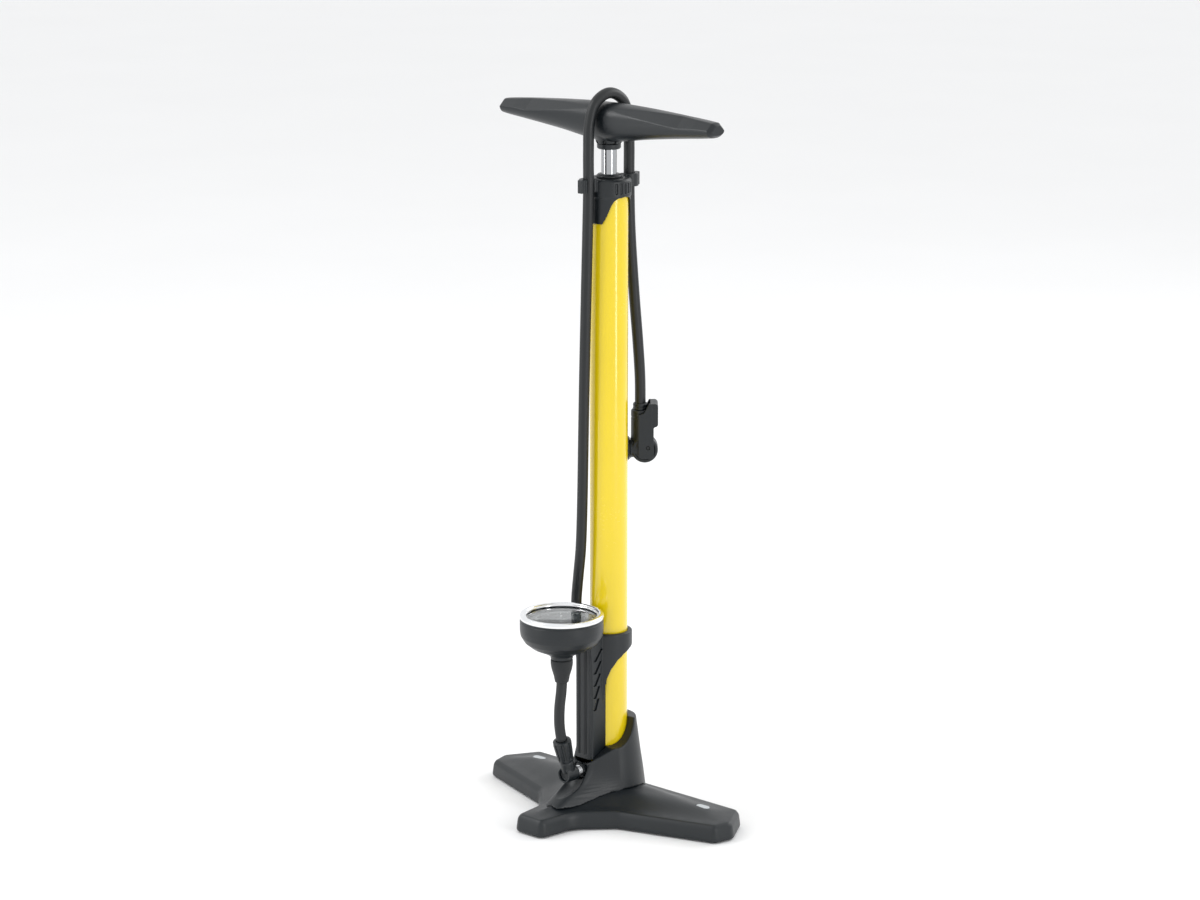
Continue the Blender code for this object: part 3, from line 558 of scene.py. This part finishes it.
def base_shell(name, lift, spacing):
    outline = base_outline()
    rings = [[(x, y, z + (lift if z > 14 else 0)) for x, y in inset(outline, d)] for d, z in BASE_RINGS]
    bm = bmesh.new()
    rows = [[bm.verts.new(point) for point in ring] for ring in rings]
    skin(bm, rows)
    bm.faces.new(rows[0])
    rim = [Vector((x, y)) for x, y, _ in rings[-1]]
    inner = []
    for k in range(-int(140 / spacing), int(140 / spacing) + 1):
        for m in range(-int(106 / spacing), int(42 / spacing)):
            point = Vector((k * spacing, m * spacing))
            if inside(point, rim) and rim_distance(point, rim) > spacing * 0.6:
                inner.append(point)
    loop = [(i, (i + 1) % len(rim)) for i in range(len(rim))]
    points, _, faces, *_ = delaunay_2d_cdt(rim + inner, loop, [list(range(len(rim)))], 1, 1e-5)
    top = list(rows[-1])
    top += [bm.verts.new((p.x, p.y, base_height(p, rim) + lift)) for p in points[len(rim):]]
    for face in faces:
        bm.faces.new([top[i] for i in face])
    return new_object(name, bm, ON_BARREL)


def make_base():
    base = base_shell("base", 0, 5)
    tools = []
    for side in (-1, 1):
        for near, far in ((50, 76), (80, 106)):
            slope = [-34 + (x - 54) * 19 / 52 for x in (near, far)]
            front = [(near, slope[0]), (far, slope[1]), (far, 2), (near, 2)]
            back = [(near, 6), (far, 6), (far, 34), (near, 34)]
            for name, outline in (("front", front), ("back", back)):
                flipped = [(side * x, y) for x, y in outline]
                tools.append(prism(f"pocket_{name}_{near}_{side}", flipped, -5, 13, ON_BARREL))
    tools.append(prism("pocket_nose", [(-13, -80), (13, -80), (16, -60), (-16, -60)], -5, 12, ON_BARREL))
    tools.append(rod("socket", BARREL_R + CLEAR, 9, 60, ON_BARREL))
    rim = [Vector(point) for point in inset(base_outline(), 5.6)]
    for side, name in ((-1, "left"), (1, "right")):
        place = ON_BARREL @ Matrix.Translation((side * INLAY_X, INLAY_Y, 0))
        height = base_height(Vector((side * INLAY_X, INLAY_Y)), rim)
        pill = arc((3.5, 0), 3.5, -90, 90, 16) + arc((-3.5, 0), 3.5, 90, 270, 16)
        seat = [(x * 1.035, y * 1.07) for x, y in pill]
        tools.append(prism("inlay_seat_" + name, seat, height - 1.2, height + 4, place))
        inlay = loft("inlay_" + name, [[(x, y, height - 1) for x, y in pill],
                                       [(x, y, height + 0.15) for x, y in pill],
                                       [(x * 0.965, y * 0.93, height + 0.38) for x, y in pill]], place)
        finish(inlay, "inlay", "root", "inlay_grey", "badge_" + name)
    cut(base, *tools)
    finish(base, "plastic", "root", "black_plastic", "base_body", angle=32)
    for name in ("left", "right", "front"):
        spot = middle("foot_pad_" + name)
        pad = turned("pad_" + name, [(0, 0.7), (3, 0.7), (3.4, 0), (8.2, 0), (9, 0.8), (9, 5), (0, 5)],
                     Matrix.Translation((spot.x, spot.y, 0)), 48, closed=False)
        finish(pad, "rubber", "root", "soft_rubber", "foot_pad_" + name)


# ---------------------------------------------------------------- hub
# (height, nose, nose half-width, radius) of the cowl's rings
COWL_LEVELS = [(12, -86, 10, 35.5), (20, -76, 11, 35), (28, -60, 12, 34), (36, -46, 13, 33),
               (46, -38, 14, 31.6), (58, -35, 15, 29.8), (72, -33, 16, 28), (90, -32, 17, 25.6)]
# (distance before the barrel, height) of the floor of the valley that the outlet leaves through
VALLEY = [(-88, 24.6), (-78, 24.8), (-68, 25.6), (-58, 27.4), (-50, 31), (-44, 36.5), (-40, 43), (-36, 52),
          (-14, 60)]
VALLEY_R = 15


def cowl_ring(height):
    nose, half, radius = between(COWL_LEVELS, height)
    back = arc((0, 0), radius, -28, 208, 60)
    tip = arc((0, nose + half * 0.6), half, 205, 335, 20)
    return [(x, y, height) for x, y in back + tip]


def make_cowl():
    cowl = loft("cowl", [cowl_ring(12 + 3 * k) for k in range(27)], ON_BARREL)
    rim = [(y, 66 + (y + 17) * 0.6) for y in (-95, -60, -36, -17)]
    rim += [(y, 66 + 0.031 * (y + 17) ** 2) for y in range(-14, 10, 3)]
    rim += [(11, 92), (11, 130), (-95, 130)]
    valley = loft("valley", [[(x, y, z + between(VALLEY, y)[0] + VALLEY_R)
                              for x, z in arc((0, 0), VALLEY_R, 0, 352.5, 47)]
                             for y in range(-88, -14, 3)], ON_BARREL)
    cut(cowl, base_shell("cowl_seat", 0.3, 12), rod("cowl_bore", BARREL_R + CLEAR, -5, 120, ON_BARREL),
        prism("saddle", rim, -60, 60, ON_BARREL @ UPRIGHT_YZ),
        valley,
        block("stand_seat", (-10.3, -35.4, 40), (10.3, -10, 130), ON_BARREL),
        rod("outlet_way", 5.3, -5, 70, ALONG_OUTLET),
        rod("elbow_room", 8.4, 36.2, 95, ALONG_OUTLET))
    finish(moulded(cowl, 0.7, 5), "plastic", "root", "black_plastic", "hub_cowl", angle=0)


def make_outlet():
    place = ALONG_OUTLET
    grooves = []
    for k in range(3):
        at = 41.2 + 1.5 * k
        grooves += [(5, at), (4.7, at + 0.3), (4.7, at + 0.7), (5, at + 1)]
    pipe = [(1.8, 11.4), (5, 11.4)] + grooves + [(5, 46.7), (1.8, 46.7)]
    spigot = turned("outlet_pipe", pipe, place, 64, radius=0.15)
    finish(spigot, "steel", "root", "rod_steel", "outlet_spigot")
    nut = prism("outlet_gland", arc((0, 0), 7, 0, 300, 5), 36.5, 40, place)
    cut(nut, rod("gland_bore", 5.3, 30, 50, place))
    finish(moulded(nut, 0.25, 3), "plastic", "root", "black_plastic", "outlet_nut", angle=0)
    elbow = turned("elbow", [(0, 47), (6.9, 47), (7.4, 48), (7.4, 61.1), (7.1, 61.6), (6.1, 61.6),
                             (5.7, 60.8), (5.4, 58.4), (0, 58.0)], place, 72, closed=False, radius=0.15)
    foot = Matrix.Translation((0, ELBOW_Y, OUTLET_Z)) @ Matrix.Rotation(COLLAR_LEAN, 4, "X")
    neck = [(0, 3), (6.4, 3), (6.4, 12.4), (6.0, 13.2), (6.0, 14), (0, 14)]
    join(elbow, turned("elbow_neck", neck, foot, 64, closed=False, radius=0.1))
    finish(moulded(elbow, 0.28, 4), "plastic", "root", "black_plastic", "elbow_fitting", angle=0)
    make_feed_collar(foot)


GROOVE_DEPTH = 1.1


def make_feed_collar(foot):
    """Grip collar of the feed hose: tapered, with deep grooves between its ribs."""
    profile = softened([(0.01, 14.3), (7.0, 14.3), (7.3, 16), (8.0, 22), (8.8, 33), (8.3, 36.0), (5.4, 36.6),
                        (5.4, 33), (0.01, 33)], False, 0.6, 4)
    profile = [point for a, b in zip(profile, profile[1:])
               for point in (a.lerp(b, k / 6) for k in range(6))] + [profile[-1]]
    sides, ribs = 144, 8
    rings = []
    for radius, height in profile:
        fade = max(0.0, min(1.0, (height - 16.6) / 1.2, (35.2 - height) / 1.2)) if radius > 6.9 else 0.0
        ring = []
        for k in range(sides):
            angle = 2 * math.pi * k / sides
            wave = math.cos(ribs * angle)
            groove = GROOVE_DEPTH * fade * max(0.0, min(1.0, (wave - 0.15) / 0.35))
            ring.append(((radius - groove) * math.cos(angle), (radius - groove) * math.sin(angle), height))
        rings.append(ring)
    finish(loft("grip_collar", rings, foot), "plastic", "root", "black_plastic", "feed_collar", angle=35)


# ---------------------------------------------------------------- barrel, cap and handle
def make_barrel():
    wall = [(BORE_R, 9.3), (BARREL_R, 9.3), (BARREL_R, BARREL_TOP), (BORE_R, BARREL_TOP)]
    barrel = turned("barrel_tube", wall, ON_BARREL, 128)
    cut(barrel, rod("barrel_outlet", 5.3, 5, 30, ALONG_OUTLET))
    finish(barrel, "paint", "root", "yellow_paint", "barrel", angle=30)


def clip_outline(flip):
    centre = (0, -CLIP_Y)
    outer = arc(centre, 8.6, 62, 250, 40) + [(-2.6, -38.6), (2.6, -38.6)] + arc(centre, 8.6, 290, 304, 3)
    inner = arc(centre, 5.4, 304, 62, 30)
    return [(x * flip, y * flip) for x, y in outer + inner]


def make_cap():
    cap = turned("cap", [(17.8, 556), (19.5, 556), (19.5, 579), (20.3, 580.5), (20.3, 594), (18.8, 596),
                         (14, 596), (13.4, 595.2), (12.4, 595.2), (11.8, 596), (10, 596), (10, 588.3),
                         (17.8, 588.3)], ON_BARREL, 128)
    side = [(-17.9, 554), (-16.8, 558.5), (-14.6, 566), (-12.8, 572), (-10.6, 576.6), (-7, 579.2), (0, 580.2)]
    window = [(-25, 540)] + side + [(-y, z) for y, z in reversed(side[:-1])] + [(25, 540)]
    tools = [prism("window", window, -30, 30, ON_BARREL @ UPRIGHT_YZ)]
    for middle_angle in (0, 180):
        for k in range(-2, 3):
            turn = Matrix.Rotation(math.radians(middle_angle + 13.5 * k), 4, "Z")
            slot = block(f"grip_{middle_angle}_{k}", (19.0, -1.1, 583), (24, 1.1, 592.6), ON_BARREL @ turn)
            tools.append(slot)
    cut(cap, *tools)
    joined = []
    for flip, name in ((1, "front"), (-1, "back")):
        joined.append(prism("clip_" + name, clip_outline(flip), 585.5, 597.5, ON_BARREL))
        arm = [(-8, 585.5), (-20.5, 585.5), (-20.5, 597.0), (-16.5, 596.6), (-12.5, 595.6)]
        flipped = [(y * flip, z) for y, z in arm]
        joined.append(prism("arm_" + name, flipped, -7.5, 4.0, ON_BARREL @ UPRIGHT_YZ))
    join(cap, *joined)
    cut(cap, rod("cap_bore", 10, 560, 620, ON_BARREL), rod("barrel_room", 17.8, 540, 588.3, ON_BARREL),
        rod("clip_bore_front", 5.4, 580, 600, ON_BARREL @ Matrix.Translation((0, -CLIP_Y, 0))),
        rod("clip_bore_back", 5.4, 580, 600, ON_BARREL @ Matrix.Translation((0, CLIP_Y, 0))))
    finish(moulded(cap, 0.4, 3), "plastic", "root", "black_plastic", "top_cap", angle=0)
    bush = turned("bush", [(7.3, 586), (9.7, 586), (9.7, 596.3), (11.5, 596.3), (11.5, 598), (9.6, 599.6),
                           (7.3, 599.6)], ON_BARREL, 72)
    finish(bush, "plastic", "root", "black_plastic", "rod_bush")


# (distance from the middle, low, high, half depth) of one half of the handle
HANDLE_HALF = [(0, 628.5, 663.8, 18), (14, 629.5, 663.7, 17.8), (28, 631.5, 663.3, 17.2),
               (48, 634.5, 662.4, 16.2), (72, 637.4, 661, 15), (96, 640, 659.4, 13.6), (116, 642, 657.8, 12),
               (125.5, 643.2, 656.8, 11.2)]
HANDLE_END = (129, 645.6, 654.4, 8.2)
# (distance from the middle, depth) of the sloping flats along the handle
FACET = [(-1, 0), (18, 0), (60, 1.5), (92, 3.1), (108, 2.0), (130, 1.5)]
FACET_TILT = math.radians(44)


def handle_ring(x, points=96):
    """An upright section of the handle: nearly oval, with a sloping flat cut on each side of its crown."""
    reach = abs(x)
    mirrored = [(-row[0], *row[1:]) for row in HANDLE_HALF[1:]]
    if reach <= HANDLE_HALF[-1][0]:
        low, high, half_width = between(mirrored + HANDLE_HALF, reach)
    else:
        share = (reach - HANDLE_HALF[-1][0]) / (HANDLE_END[0] - HANDLE_HALF[-1][0])
        low, high, half_width = (a + (b - a) * share for a, b in zip(HANDLE_HALF[-1][1:], HANDLE_END[1:]))
    (x0, d0), (x1, d1) = next(pair for pair in zip(FACET, FACET[1:]) if pair[0][0] <= reach <= pair[1][0])
    depth = d0 + (d1 - d0) * (reach - x0) / (x1 - x0)
    centre, half = (low + high) / 2, (high - low) / 2
    oval = []
    for k in range(points):
        angle = 2 * math.pi * k / points
        c, s = math.cos(angle), math.sin(angle)
        oval.append(Vector((half_width * math.copysign(abs(c) ** (2 / 2.3), c),
                            half * math.copysign(abs(s) ** (2 / 2.3), s))))
    for side in (-1, 1):
        normal = Vector((side * math.sin(FACET_TILT), math.cos(FACET_TILT)))
        limit = max(point.dot(normal) for point in oval) - depth
        oval = [point - normal * max(0.0, point.dot(normal) - limit) for point in oval]
    return [(x, point.x, centre + point.y) for point in oval]


def make_handle():
    steps = [-129, -127.6, -125.5] + list(range(-124, 125, 2)) + [125.5, 127.6, 129]
    handle = loft("handle_grip", [handle_ring(x) for x in steps], ON_BARREL)
    boss = [(0, 627), (11, 627), (11.6, 627.8), (12.2, 630), (14.5, 634), (16, 644), (0, 650)]
    join(handle, turned("boss", boss, ON_BARREL, 96, closed=False))
    tools = [rod("rod_socket", 7.3, 600, 650.3, ON_BARREL)]
    for k in range(8):
        turn = Matrix.Rotation(math.radians(22.5 + 45 * k), 4, "Z")
        tools.append(block(f"boss_slot_{k}", (9.3, -1.4, 620), (18, 1.4, 630.2), ON_BARREL @ turn))
    cut(handle, *tools)
    finish(moulded(handle, 0.5, 2), "handle_plastic", "handle_unit", "black_plastic", "handle", angle=0)
    collar = turned("stop_collar", [(7.3, 622), (9.6, 622), (10.8, 623), (10.8, 626.7), (7.3, 626.7)],
                    ON_BARREL, 72)
    finish(collar, "plastic", "handle_unit", "black_plastic", "rod_collar")
    shaft = turned("rod_tube", [(5.4, 70), (7, 70), (7, 650), (5.4, 650)], ON_BARREL, 72)
    finish(shaft, "chrome", "handle_unit", "rod_steel", "rod")


# ---------------------------------------------------------------- gauge
HOUSING_OUTER = [(10, 159), (10.6, 162.5), (17, 166), (27, 170.5), (34, 176), (37.6, 182), (38.3, 187),
                 (38.3, 198)]


def housing_room(name):
    """The gauge cup and all above it, to cut from what it stands in."""
    grown = [(radius + 0.3, height - 0.18) for radius, height in HOUSING_OUTER]
    return turned(name, [(0, 150)] + grown + [(38.6, 230), (0, 230)], ON_GAUGE, 96, closed=False, radius=0)


def make_stand():
    post = block("stand", (-10, -35, 56), (10, -11, 174), ON_BARREL)
    collar = turned("stand_collar", [(16.5, 100), (21.8, 100), (21.8, 173), (20.6, 174), (16.5, 174)],
                    ON_BARREL, 96)
    under = [(-30, 96), (-20, 100), (-18, 118), (-17, 131), (-14, 141), (-9, 149), (-2, 154.5), (6, 158),
             (14, 160), (30, 160), (30, 90), (-30, 90)]
    cut(collar, prism("sweep", under, -30, 30, ON_BARREL @ UPRIGHT_YZ))
    join(post, collar)
    tools = [rod("stand_bore", BARREL_R + CLEAR, 20, 190, ON_BARREL), housing_room("housing_room")]
    for k in range(5):
        at = 158 - 11.8 * k
        reach = -18.5 - 1.2 * k
        slant = [(-31.5, at - 8), (-27.5, at - 8), (reach, at + 3), (reach - 4, at + 3)]
        for side in (-1, 1):
            low, high = sorted((side * 7.5, side * 12))
            tools.append(prism(f"slot_{k}_{side}", slant, low, high, ON_BARREL @ UPRIGHT_YZ))
    for x, radius in ((-4.2, 1.5), (3.4, 1.9)):
        place = ON_BARREL @ Matrix.Translation((x, -35.5, 0))
        tools.append(rod(f"groove_{radius}", radius, 60, 200, place, 32))
    for side in (-1, 1):
        low, high = sorted((side * 8.9, side * 12))
        edge = [(-36, 50), (-32.4, 50), (-32.6, 120), (-33.8, 150), (-34.6, 158), (-36, 158)]
        tools.append(prism(f"crease_{side}", edge, low, high, ON_BARREL @ UPRIGHT_YZ))
    tools.append(rod("clamp_way", 1.9, 15, 30, ALONG_CLAMP, 32))
    cut(post, *tools)
    finish(moulded(post, 0.45, 3), "plastic", "root", "black_plastic", "gauge_stand", angle=0)
    screw = turned("clamp_bolt",
                   [(0, 18.2), (1.6, 18.2), (1.6, 22.1), (3.2, 22.1), (3.2, 23.2), (2.4, 24), (0, 24)],
                   ALONG_CLAMP, 48, closed=False, radius=0.2)
    cut(screw, prism("hex_drive", arc((0, 0), 1.4, 0, 300, 5), 22.9, 26, ALONG_CLAMP))
    finish(screw, "steel", "root", "fastener_steel", "clamp_screw")


def make_gauge():
    inner = [(36.6, 198), (35.6, 197), (35.6, 180), (34, 178), (4.3, 178), (4.3, 159)]
    outer = HOUSING_OUTER[:-1] + [(38.3, 195.6), (37.9, 196), (37.9, 196.6), (38.3, 197), (38.3, 198)]
    finish(turned("gauge_cup", outer + inner, ON_GAUGE, 160, radius=0.9), "plastic", "root", "black_plastic",
           "gauge_housing")
    bezel = turned("gauge_ring",
                   [(38.4, 198.3), (38.6, 200.4), (38.1, 201.6), (37.0, 202.4), (35.8, 202.6), (34.6, 202.0),
                    (33.6, 201.0), (32.6, 200.8), (32.3, 200.2), (32.3, 199.3), (35.6, 199.3), (35.6, 198.3)],
                   ON_GAUGE, 192, radius=0.3)
    finish(bezel, "bezel", "root", "bezel_metal", "gauge_bezel", angle=50)
    lens = turned("gauge_glass", [(0, 197.4), (30, 197.0), (35.2, 196.8), (35.2, 199), (0, 199)], ON_GAUGE,
                  128, closed=False, radius=0.1)
    finish(lens, "glass", "root", "lens_clear", "gauge_lens")
    boot = turned("boot", [(2.5, 137), (6.2, 137), (6.5, 138.2), (7.4, 143), (9.4, 149.5), (10.2, 154),
                           (10.3, 158.7), (4.3, 158.7), (4.3, 141), (2.5, 141)], ON_GAUGE, 72, radius=1.2)
    finish(boot, "rubber", "root", "soft_rubber", "gauge_boot", angle=60)
    face = turned("dial_plate", [(2, 190), (34.8, 190), (34.8, 191), (2, 191)], ON_GAUGE, 128, radius=0.1)
    finish(face, "dial", "root", "dial_face", "dial")
    make_dial_print()
    make_needle()


DIAL_START = 225            # degrees, where the pointer rests
DIAL_SWEEP = 270
DIAL_TICKS = 48
DIAL_Z = 191.0              # top of the dial plate


def ring_part(name, inner, outer, start, end, low, high):
    steps = max(2, round(abs(end - start) / 3))
    outline = arc((0, 0), outer, start, end, steps) + arc((0, 0), inner, end, start, steps)
    return prism(name, outline, low, high, ON_GAUGE)


def make_dial_print():
    """Scale rings, ticks and plain figures, printed just proud of the dial."""
    low, high = DIAL_Z, DIAL_Z + 0.12
    end = DIAL_START - DIAL_SWEEP
    parts = [ring_part("outer_line", 31.2, 31.7, end, DIAL_START, low, high),
             ring_part("inner_line", 20.4, 20.8, end, DIAL_START, low, high)]
    for k in range(DIAL_TICKS + 1):
        angle = DIAL_START - DIAL_SWEEP * k / DIAL_TICKS
        long = k % 4 == 0
        turn = ON_GAUGE @ Matrix.Rotation(math.radians(angle), 4, "Z")
        width = 0.35 if long else 0.16
        parts.append(block(f"tick_{k}", (27.6 if long else 29.6, -width, low), (31.3, width, high), turn))
        if k % 2 == 0:
            parts.append(block(f"inner_tick_{k}", (18.6, -0.14, low), (20.5, 0.14, high), turn))
    for k in range(0, 13, 2):
        angle = math.radians(DIAL_START - DIAL_SWEEP * k / 12)
        parts.append(figure(str(k), 24.2 * math.cos(angle), 24.2 * math.sin(angle), low, high))
    merge("dial_marks", parts)
    finish(parts[0], "print", "root", "dial_face", angle=30)
    zone = ring_part("dial_zone", 32.4, 34.2, end, DIAL_START, low, high)
    finish(zone, "band", "root", "dial_face", angle=30)


def figure(text, x, y, low, high):
    """A plain raised number."""
    curve = bpy.data.curves.new("figure_" + text, "FONT")
    curve.body = text
    curve.size = 4.4
    curve.extrude = (high - low) / 2
    curve.align_x = curve.align_y = "CENTER"
    source = bpy.data.objects.new("figure_" + text, curve)
    bpy.context.scene.collection.objects.link(source)
    bpy.context.view_layer.update()
    mesh = bpy.data.meshes.new_from_object(source.evaluated_get(bpy.context.evaluated_depsgraph_get()))
    bpy.data.objects.remove(source, do_unlink=True)
    bm = bmesh.new()
    bm.from_mesh(mesh)
    return new_object("number_" + text, bm, ON_GAUGE @ Matrix.Translation((x, y, (low + high) / 2)))


def merge(name, parts):
    """Join separate meshes into the first of them."""
    bm = bmesh.new()
    for part in parts:
        bm.from_mesh(part.data)
    for part in parts[1:]:
        bpy.data.objects.remove(part, do_unlink=True)
    bm.to_mesh(parts[0].data)
    bm.free()
    parts[0].name = name


def make_needle():
    """Pointer with a tapered blade, a short tail and a domed cap."""
    hub = turned("pointer", [(0, 182.6), (1.1, 182.6), (1.1, 184), (2.2, 184), (2.2, 187), (1.1, 187),
                             (1.1, 192.4), (3, 192.4), (3, 193.9), (2.4, 194.6), (0, 194.8)],
                 ON_GAUGE, 48, closed=False, radius=0.2)
    place = ON_GAUGE @ Matrix.Rotation(math.radians(DIAL_START - 90), 4, "Z")
    blade = [(-0.8, -8), (-0.5, -8.4), (0.5, -8.4), (0.8, -8), (1.2, 0), (0.3, 26.6), (0, 27), (-0.3, 26.6),
             (-1.2, 0)]
    join(hub, prism("blade", blade, 192.9, 193.6, place))
    finish(hub, "needle", "pointer", "needle_white", "needle", angle=30)


def make_port():
    place = Matrix.Translation((PORT_X, PORT_Y, 0))
    port = turned("port", [(1.5, 172), (6.4, 172), (7, 173), (7, 183.6), (6.6, 184), (6.6, 184.6),
                           (7, 185), (7, 186.6), (6.2, 188), (1.5, 188)], place, 72)
    reach = math.atan2(GAUGE_Y - PORT_Y, -PORT_X)
    join(port, block("port_arm", (4, -4.5, 182), (14, 4.5, 187.6), place @ Matrix.Rotation(reach, 4, "Z")))
    cut(port, housing_room("port_room"))
    finish(moulded(port, 0.35, 3), "plastic", "root", "black_plastic", "hose_port", angle=0)


# ---------------------------------------------------------------- head
RING_NOTCHES = 18


def make_head():
    """Hose head: a drum with the nozzle on its side and the hose's neck on top."""
    body = turned("head", [(0, -8), (3.2, -8), (3.6, -7.6), (9.2, -7.6), (9.6, -8), (11.2, -8), (12.2, -7),
                           (12.2, -0.4), (12.0, 0), (12.2, 0.4), (12.2, 7), (11.2, 8), (9.6, 8), (9.2, 7.6),
                           (3.6, 7.6), (3.2, 8), (0, 8)], ALONG_DRUM, 96, closed=False)
    arm = turned("head_arm", [(0, -3), (8.4, -3), (8.4, 12.4), (9.6, 13), (9.6, 13.4), (7.6, 13.4),
                              (7.6, 16.8), (0, 16.8)], ALONG_NOZZLE, 96, closed=False)
    neck_place = Matrix.Translation((*HOSE_END, HEAD_CENTRE.z))
    neck = turned("head_neck", [(0, 2), (8.6, 2), (8.6, 29), (8.2, 29.5), (8.2, 30.3), (8.6, 30.8),
                                (8.6, 35.8), (7.8, 37), (0, 37)], neck_place, 96, closed=False)
    join(body, arm, neck)
    cut(body, rod("chamber", 6, 0.4, 30, ALONG_NOZZLE), rod("pin_way", 1.8, -14, 14, ALONG_PIN, 48))
    parts = [finish(moulded(body, 0.35, 3), "plastic", "root", "black_plastic", "head_body", angle=0)]
    ring = turned("nozzle", [(7.9, 13.7), (9.8, 13.7), (10.4, 14.4), (10.4, 17.2), (9.6, 18.4), (5.2, 18.4),
                             (4.4, 17.8), (4.4, 17.1), (7.9, 17.1)], ALONG_NOZZLE, 96)
    notches = []
    for k in range(RING_NOTCHES):
        turn = Matrix.Rotation(2 * math.pi * k / RING_NOTCHES, 4, "Z")
        place = ALONG_NOZZLE @ turn @ Matrix.Translation((10.6, 0, 0))
        notches.append(rod(f"notch_{k}", 0.55, 14.6, 20, place, 16))
    cut(ring, *notches)
    parts.append(finish(ring, "plastic", "root", "black_plastic", "nozzle_ring", angle=35))
    gasket = turned("valve_seal", [(3.9, 10), (5.7, 10), (5.7, 16.6), (3.9, 16.6)], ALONG_NOZZLE, 64)
    parts.append(finish(gasket, "rubber", "root", "soft_rubber", "head_gasket"))
    cuff = turned("hose_cuff", [(5.4, 378.3), (6.8, 378.3), (6.8, 380), (6.5, 380.3), (6.5, 380.9),
                                (6.8, 381.2), (6.8, 382.8), (6.2, 384), (5.4, 384)],
                  Matrix.Translation((*HOSE_END, 0)), 72, radius=0.2)
    parts.append(finish(cuff, "plastic", "root", "fastener_steel", "head_ferrule"))
    # The hinge pin gets the painted shade of its hole, near-black rather than steel.
    pin = turned("hinge_pin", [(0, -11.2), (1.5, -11.2), (1.5, 11.2), (0, 11.2)], ALONG_PIN, 48, closed=False,
                 radius=0.4)
    parts.append(finish(pin, "painted_hole_shade", "root", "fastener_steel", "lever_pin"))
    parts.append(make_lever())
    return parts


def make_lever():
    """Locking lever, folded up along the hose: two side plates, a spine and a thumb tab."""
    plate = arc((-6, -7.1), 3, 180, 270, 8) + arc((2.2, -7.1), 3, 270, 360, 8)
    tab = [(5.2, 18.3), (6.2, 19.5)] + arc((6.4, 22.3), 2.8, 270, 360, 8) + arc((6.2, 38.5), 3, 0, 90, 8)
    top = [(1, 41.5), (-2, 36), (-4, 32.5), (-9, 31)]
    lever = prism("lever_arm", plate + tab + top, -11.6, 11.6, ALONG_PIN)
    way = [(-15, -20), (25, -20), (25, 10.5), (2.2, 10.5), (2.2, 60), (-15, 60)]
    tools = [prism("lever_way", way, -9, 9, ALONG_PIN), rod("lever_pin_way", 1.8, -14, 14, ALONG_PIN, 48)]
    for side in (-1, 1):
        low, high = sorted((side * 10.6, side * 13))
        panel = [(3.8, 16.5), (3.8, 41), (12, 41), (12, 16.5)]
        tools.append(prism(f"tab_step_{side}", panel, low, high, ALONG_PIN))
    for k in range(5):
        place = ALONG_PIN @ Matrix.Translation((9.4, 23.5 + 3 * k, 0))
        tools.append(rod(f"thumb_rib_{k}", 0.6, -8, 8, place, 16))
    cut(lever, *tools)
    return finish(moulded(lever, 0.3, 3), "plastic", "lever", "black_plastic", "head_lever", angle=0)


# ---------------------------------------------------------------- pieces kept from the frame
KEPT = {
    "brass": ["valve_body", "check_valve", "gauge_socket", "bourdon_tube", "movement_plate", "sector_gear",
              "head_plunger"],
    "steel": ["valve_spring", "piston_washer", "piston_screw", "cowl_screw_left", "cowl_screw_right"],
    "plastic": ["piston"],
    "rubber": ["piston_ring"],
}


def dress_kept():
    for look, names in KEPT.items():
        for name in names:
            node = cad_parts[name]
            node.data.materials.clear()
            node.data.materials.append(LOOKS[look])


# ---------------------------------------------------------------- studio
def make_floor():
    bm = bmesh.new()
    bmesh.ops.create_grid(bm, x_segments=2, y_segments=2, size=9000)
    floor = new_object("floor", bm, Matrix.Translation((0, 0, -0.1)))
    floor.data.materials.append(LOOKS["floor"])


def area_light(name, where, towards, size, energy):
    light = bpy.data.lights.new(name, "AREA")
    light.shape = "RECTANGLE"
    light.size, light.size_y = size
    light.energy = energy
    obj = bpy.data.objects.new(name, light)
    bpy.context.scene.collection.objects.link(obj)
    obj.location = where
    obj.rotation_euler = (Vector(towards) - Vector(where)).to_track_quat("-Z", "Y").to_euler()


def make_light():
    bpy.context.scene.view_settings.view_transform = "Standard"
    world = bpy.data.worlds.new("studio")
    bpy.context.scene.world = world
    world.use_nodes = True
    background = world.node_tree.nodes["Background"]
    background.inputs["Color"].default_value = (0.985, 0.992, 1.0, 1.0)
    background.inputs["Strength"].default_value = 1.0
    centre = (0, 0, 0.35)
    area_light("key", (-1.5, -1.5, 2.4), centre, (1.2, 1.2), 22)
    area_light("left_strip", (-1.2, -2.6, 0.7), centre, (0.3, 1.8), 10)
    area_light("right_strip", (2.3, -0.1, 0.9), centre, (0.3, 1.8), 12)
    area_light("back_rim", (0.6, 2.2, 1.4), centre, (1.4, 1.0), 14)


# ---------------------------------------------------------------- build
LOOKS = make_looks()
make_camera()
make_main_hose([*make_head(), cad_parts["head_plunger"]])
make_feed_hose()
make_base()
make_cowl()
make_outlet()
make_barrel()
make_cap()
make_handle()
make_stand()
make_gauge()
make_port()
dress_kept()
make_floor()
make_light()
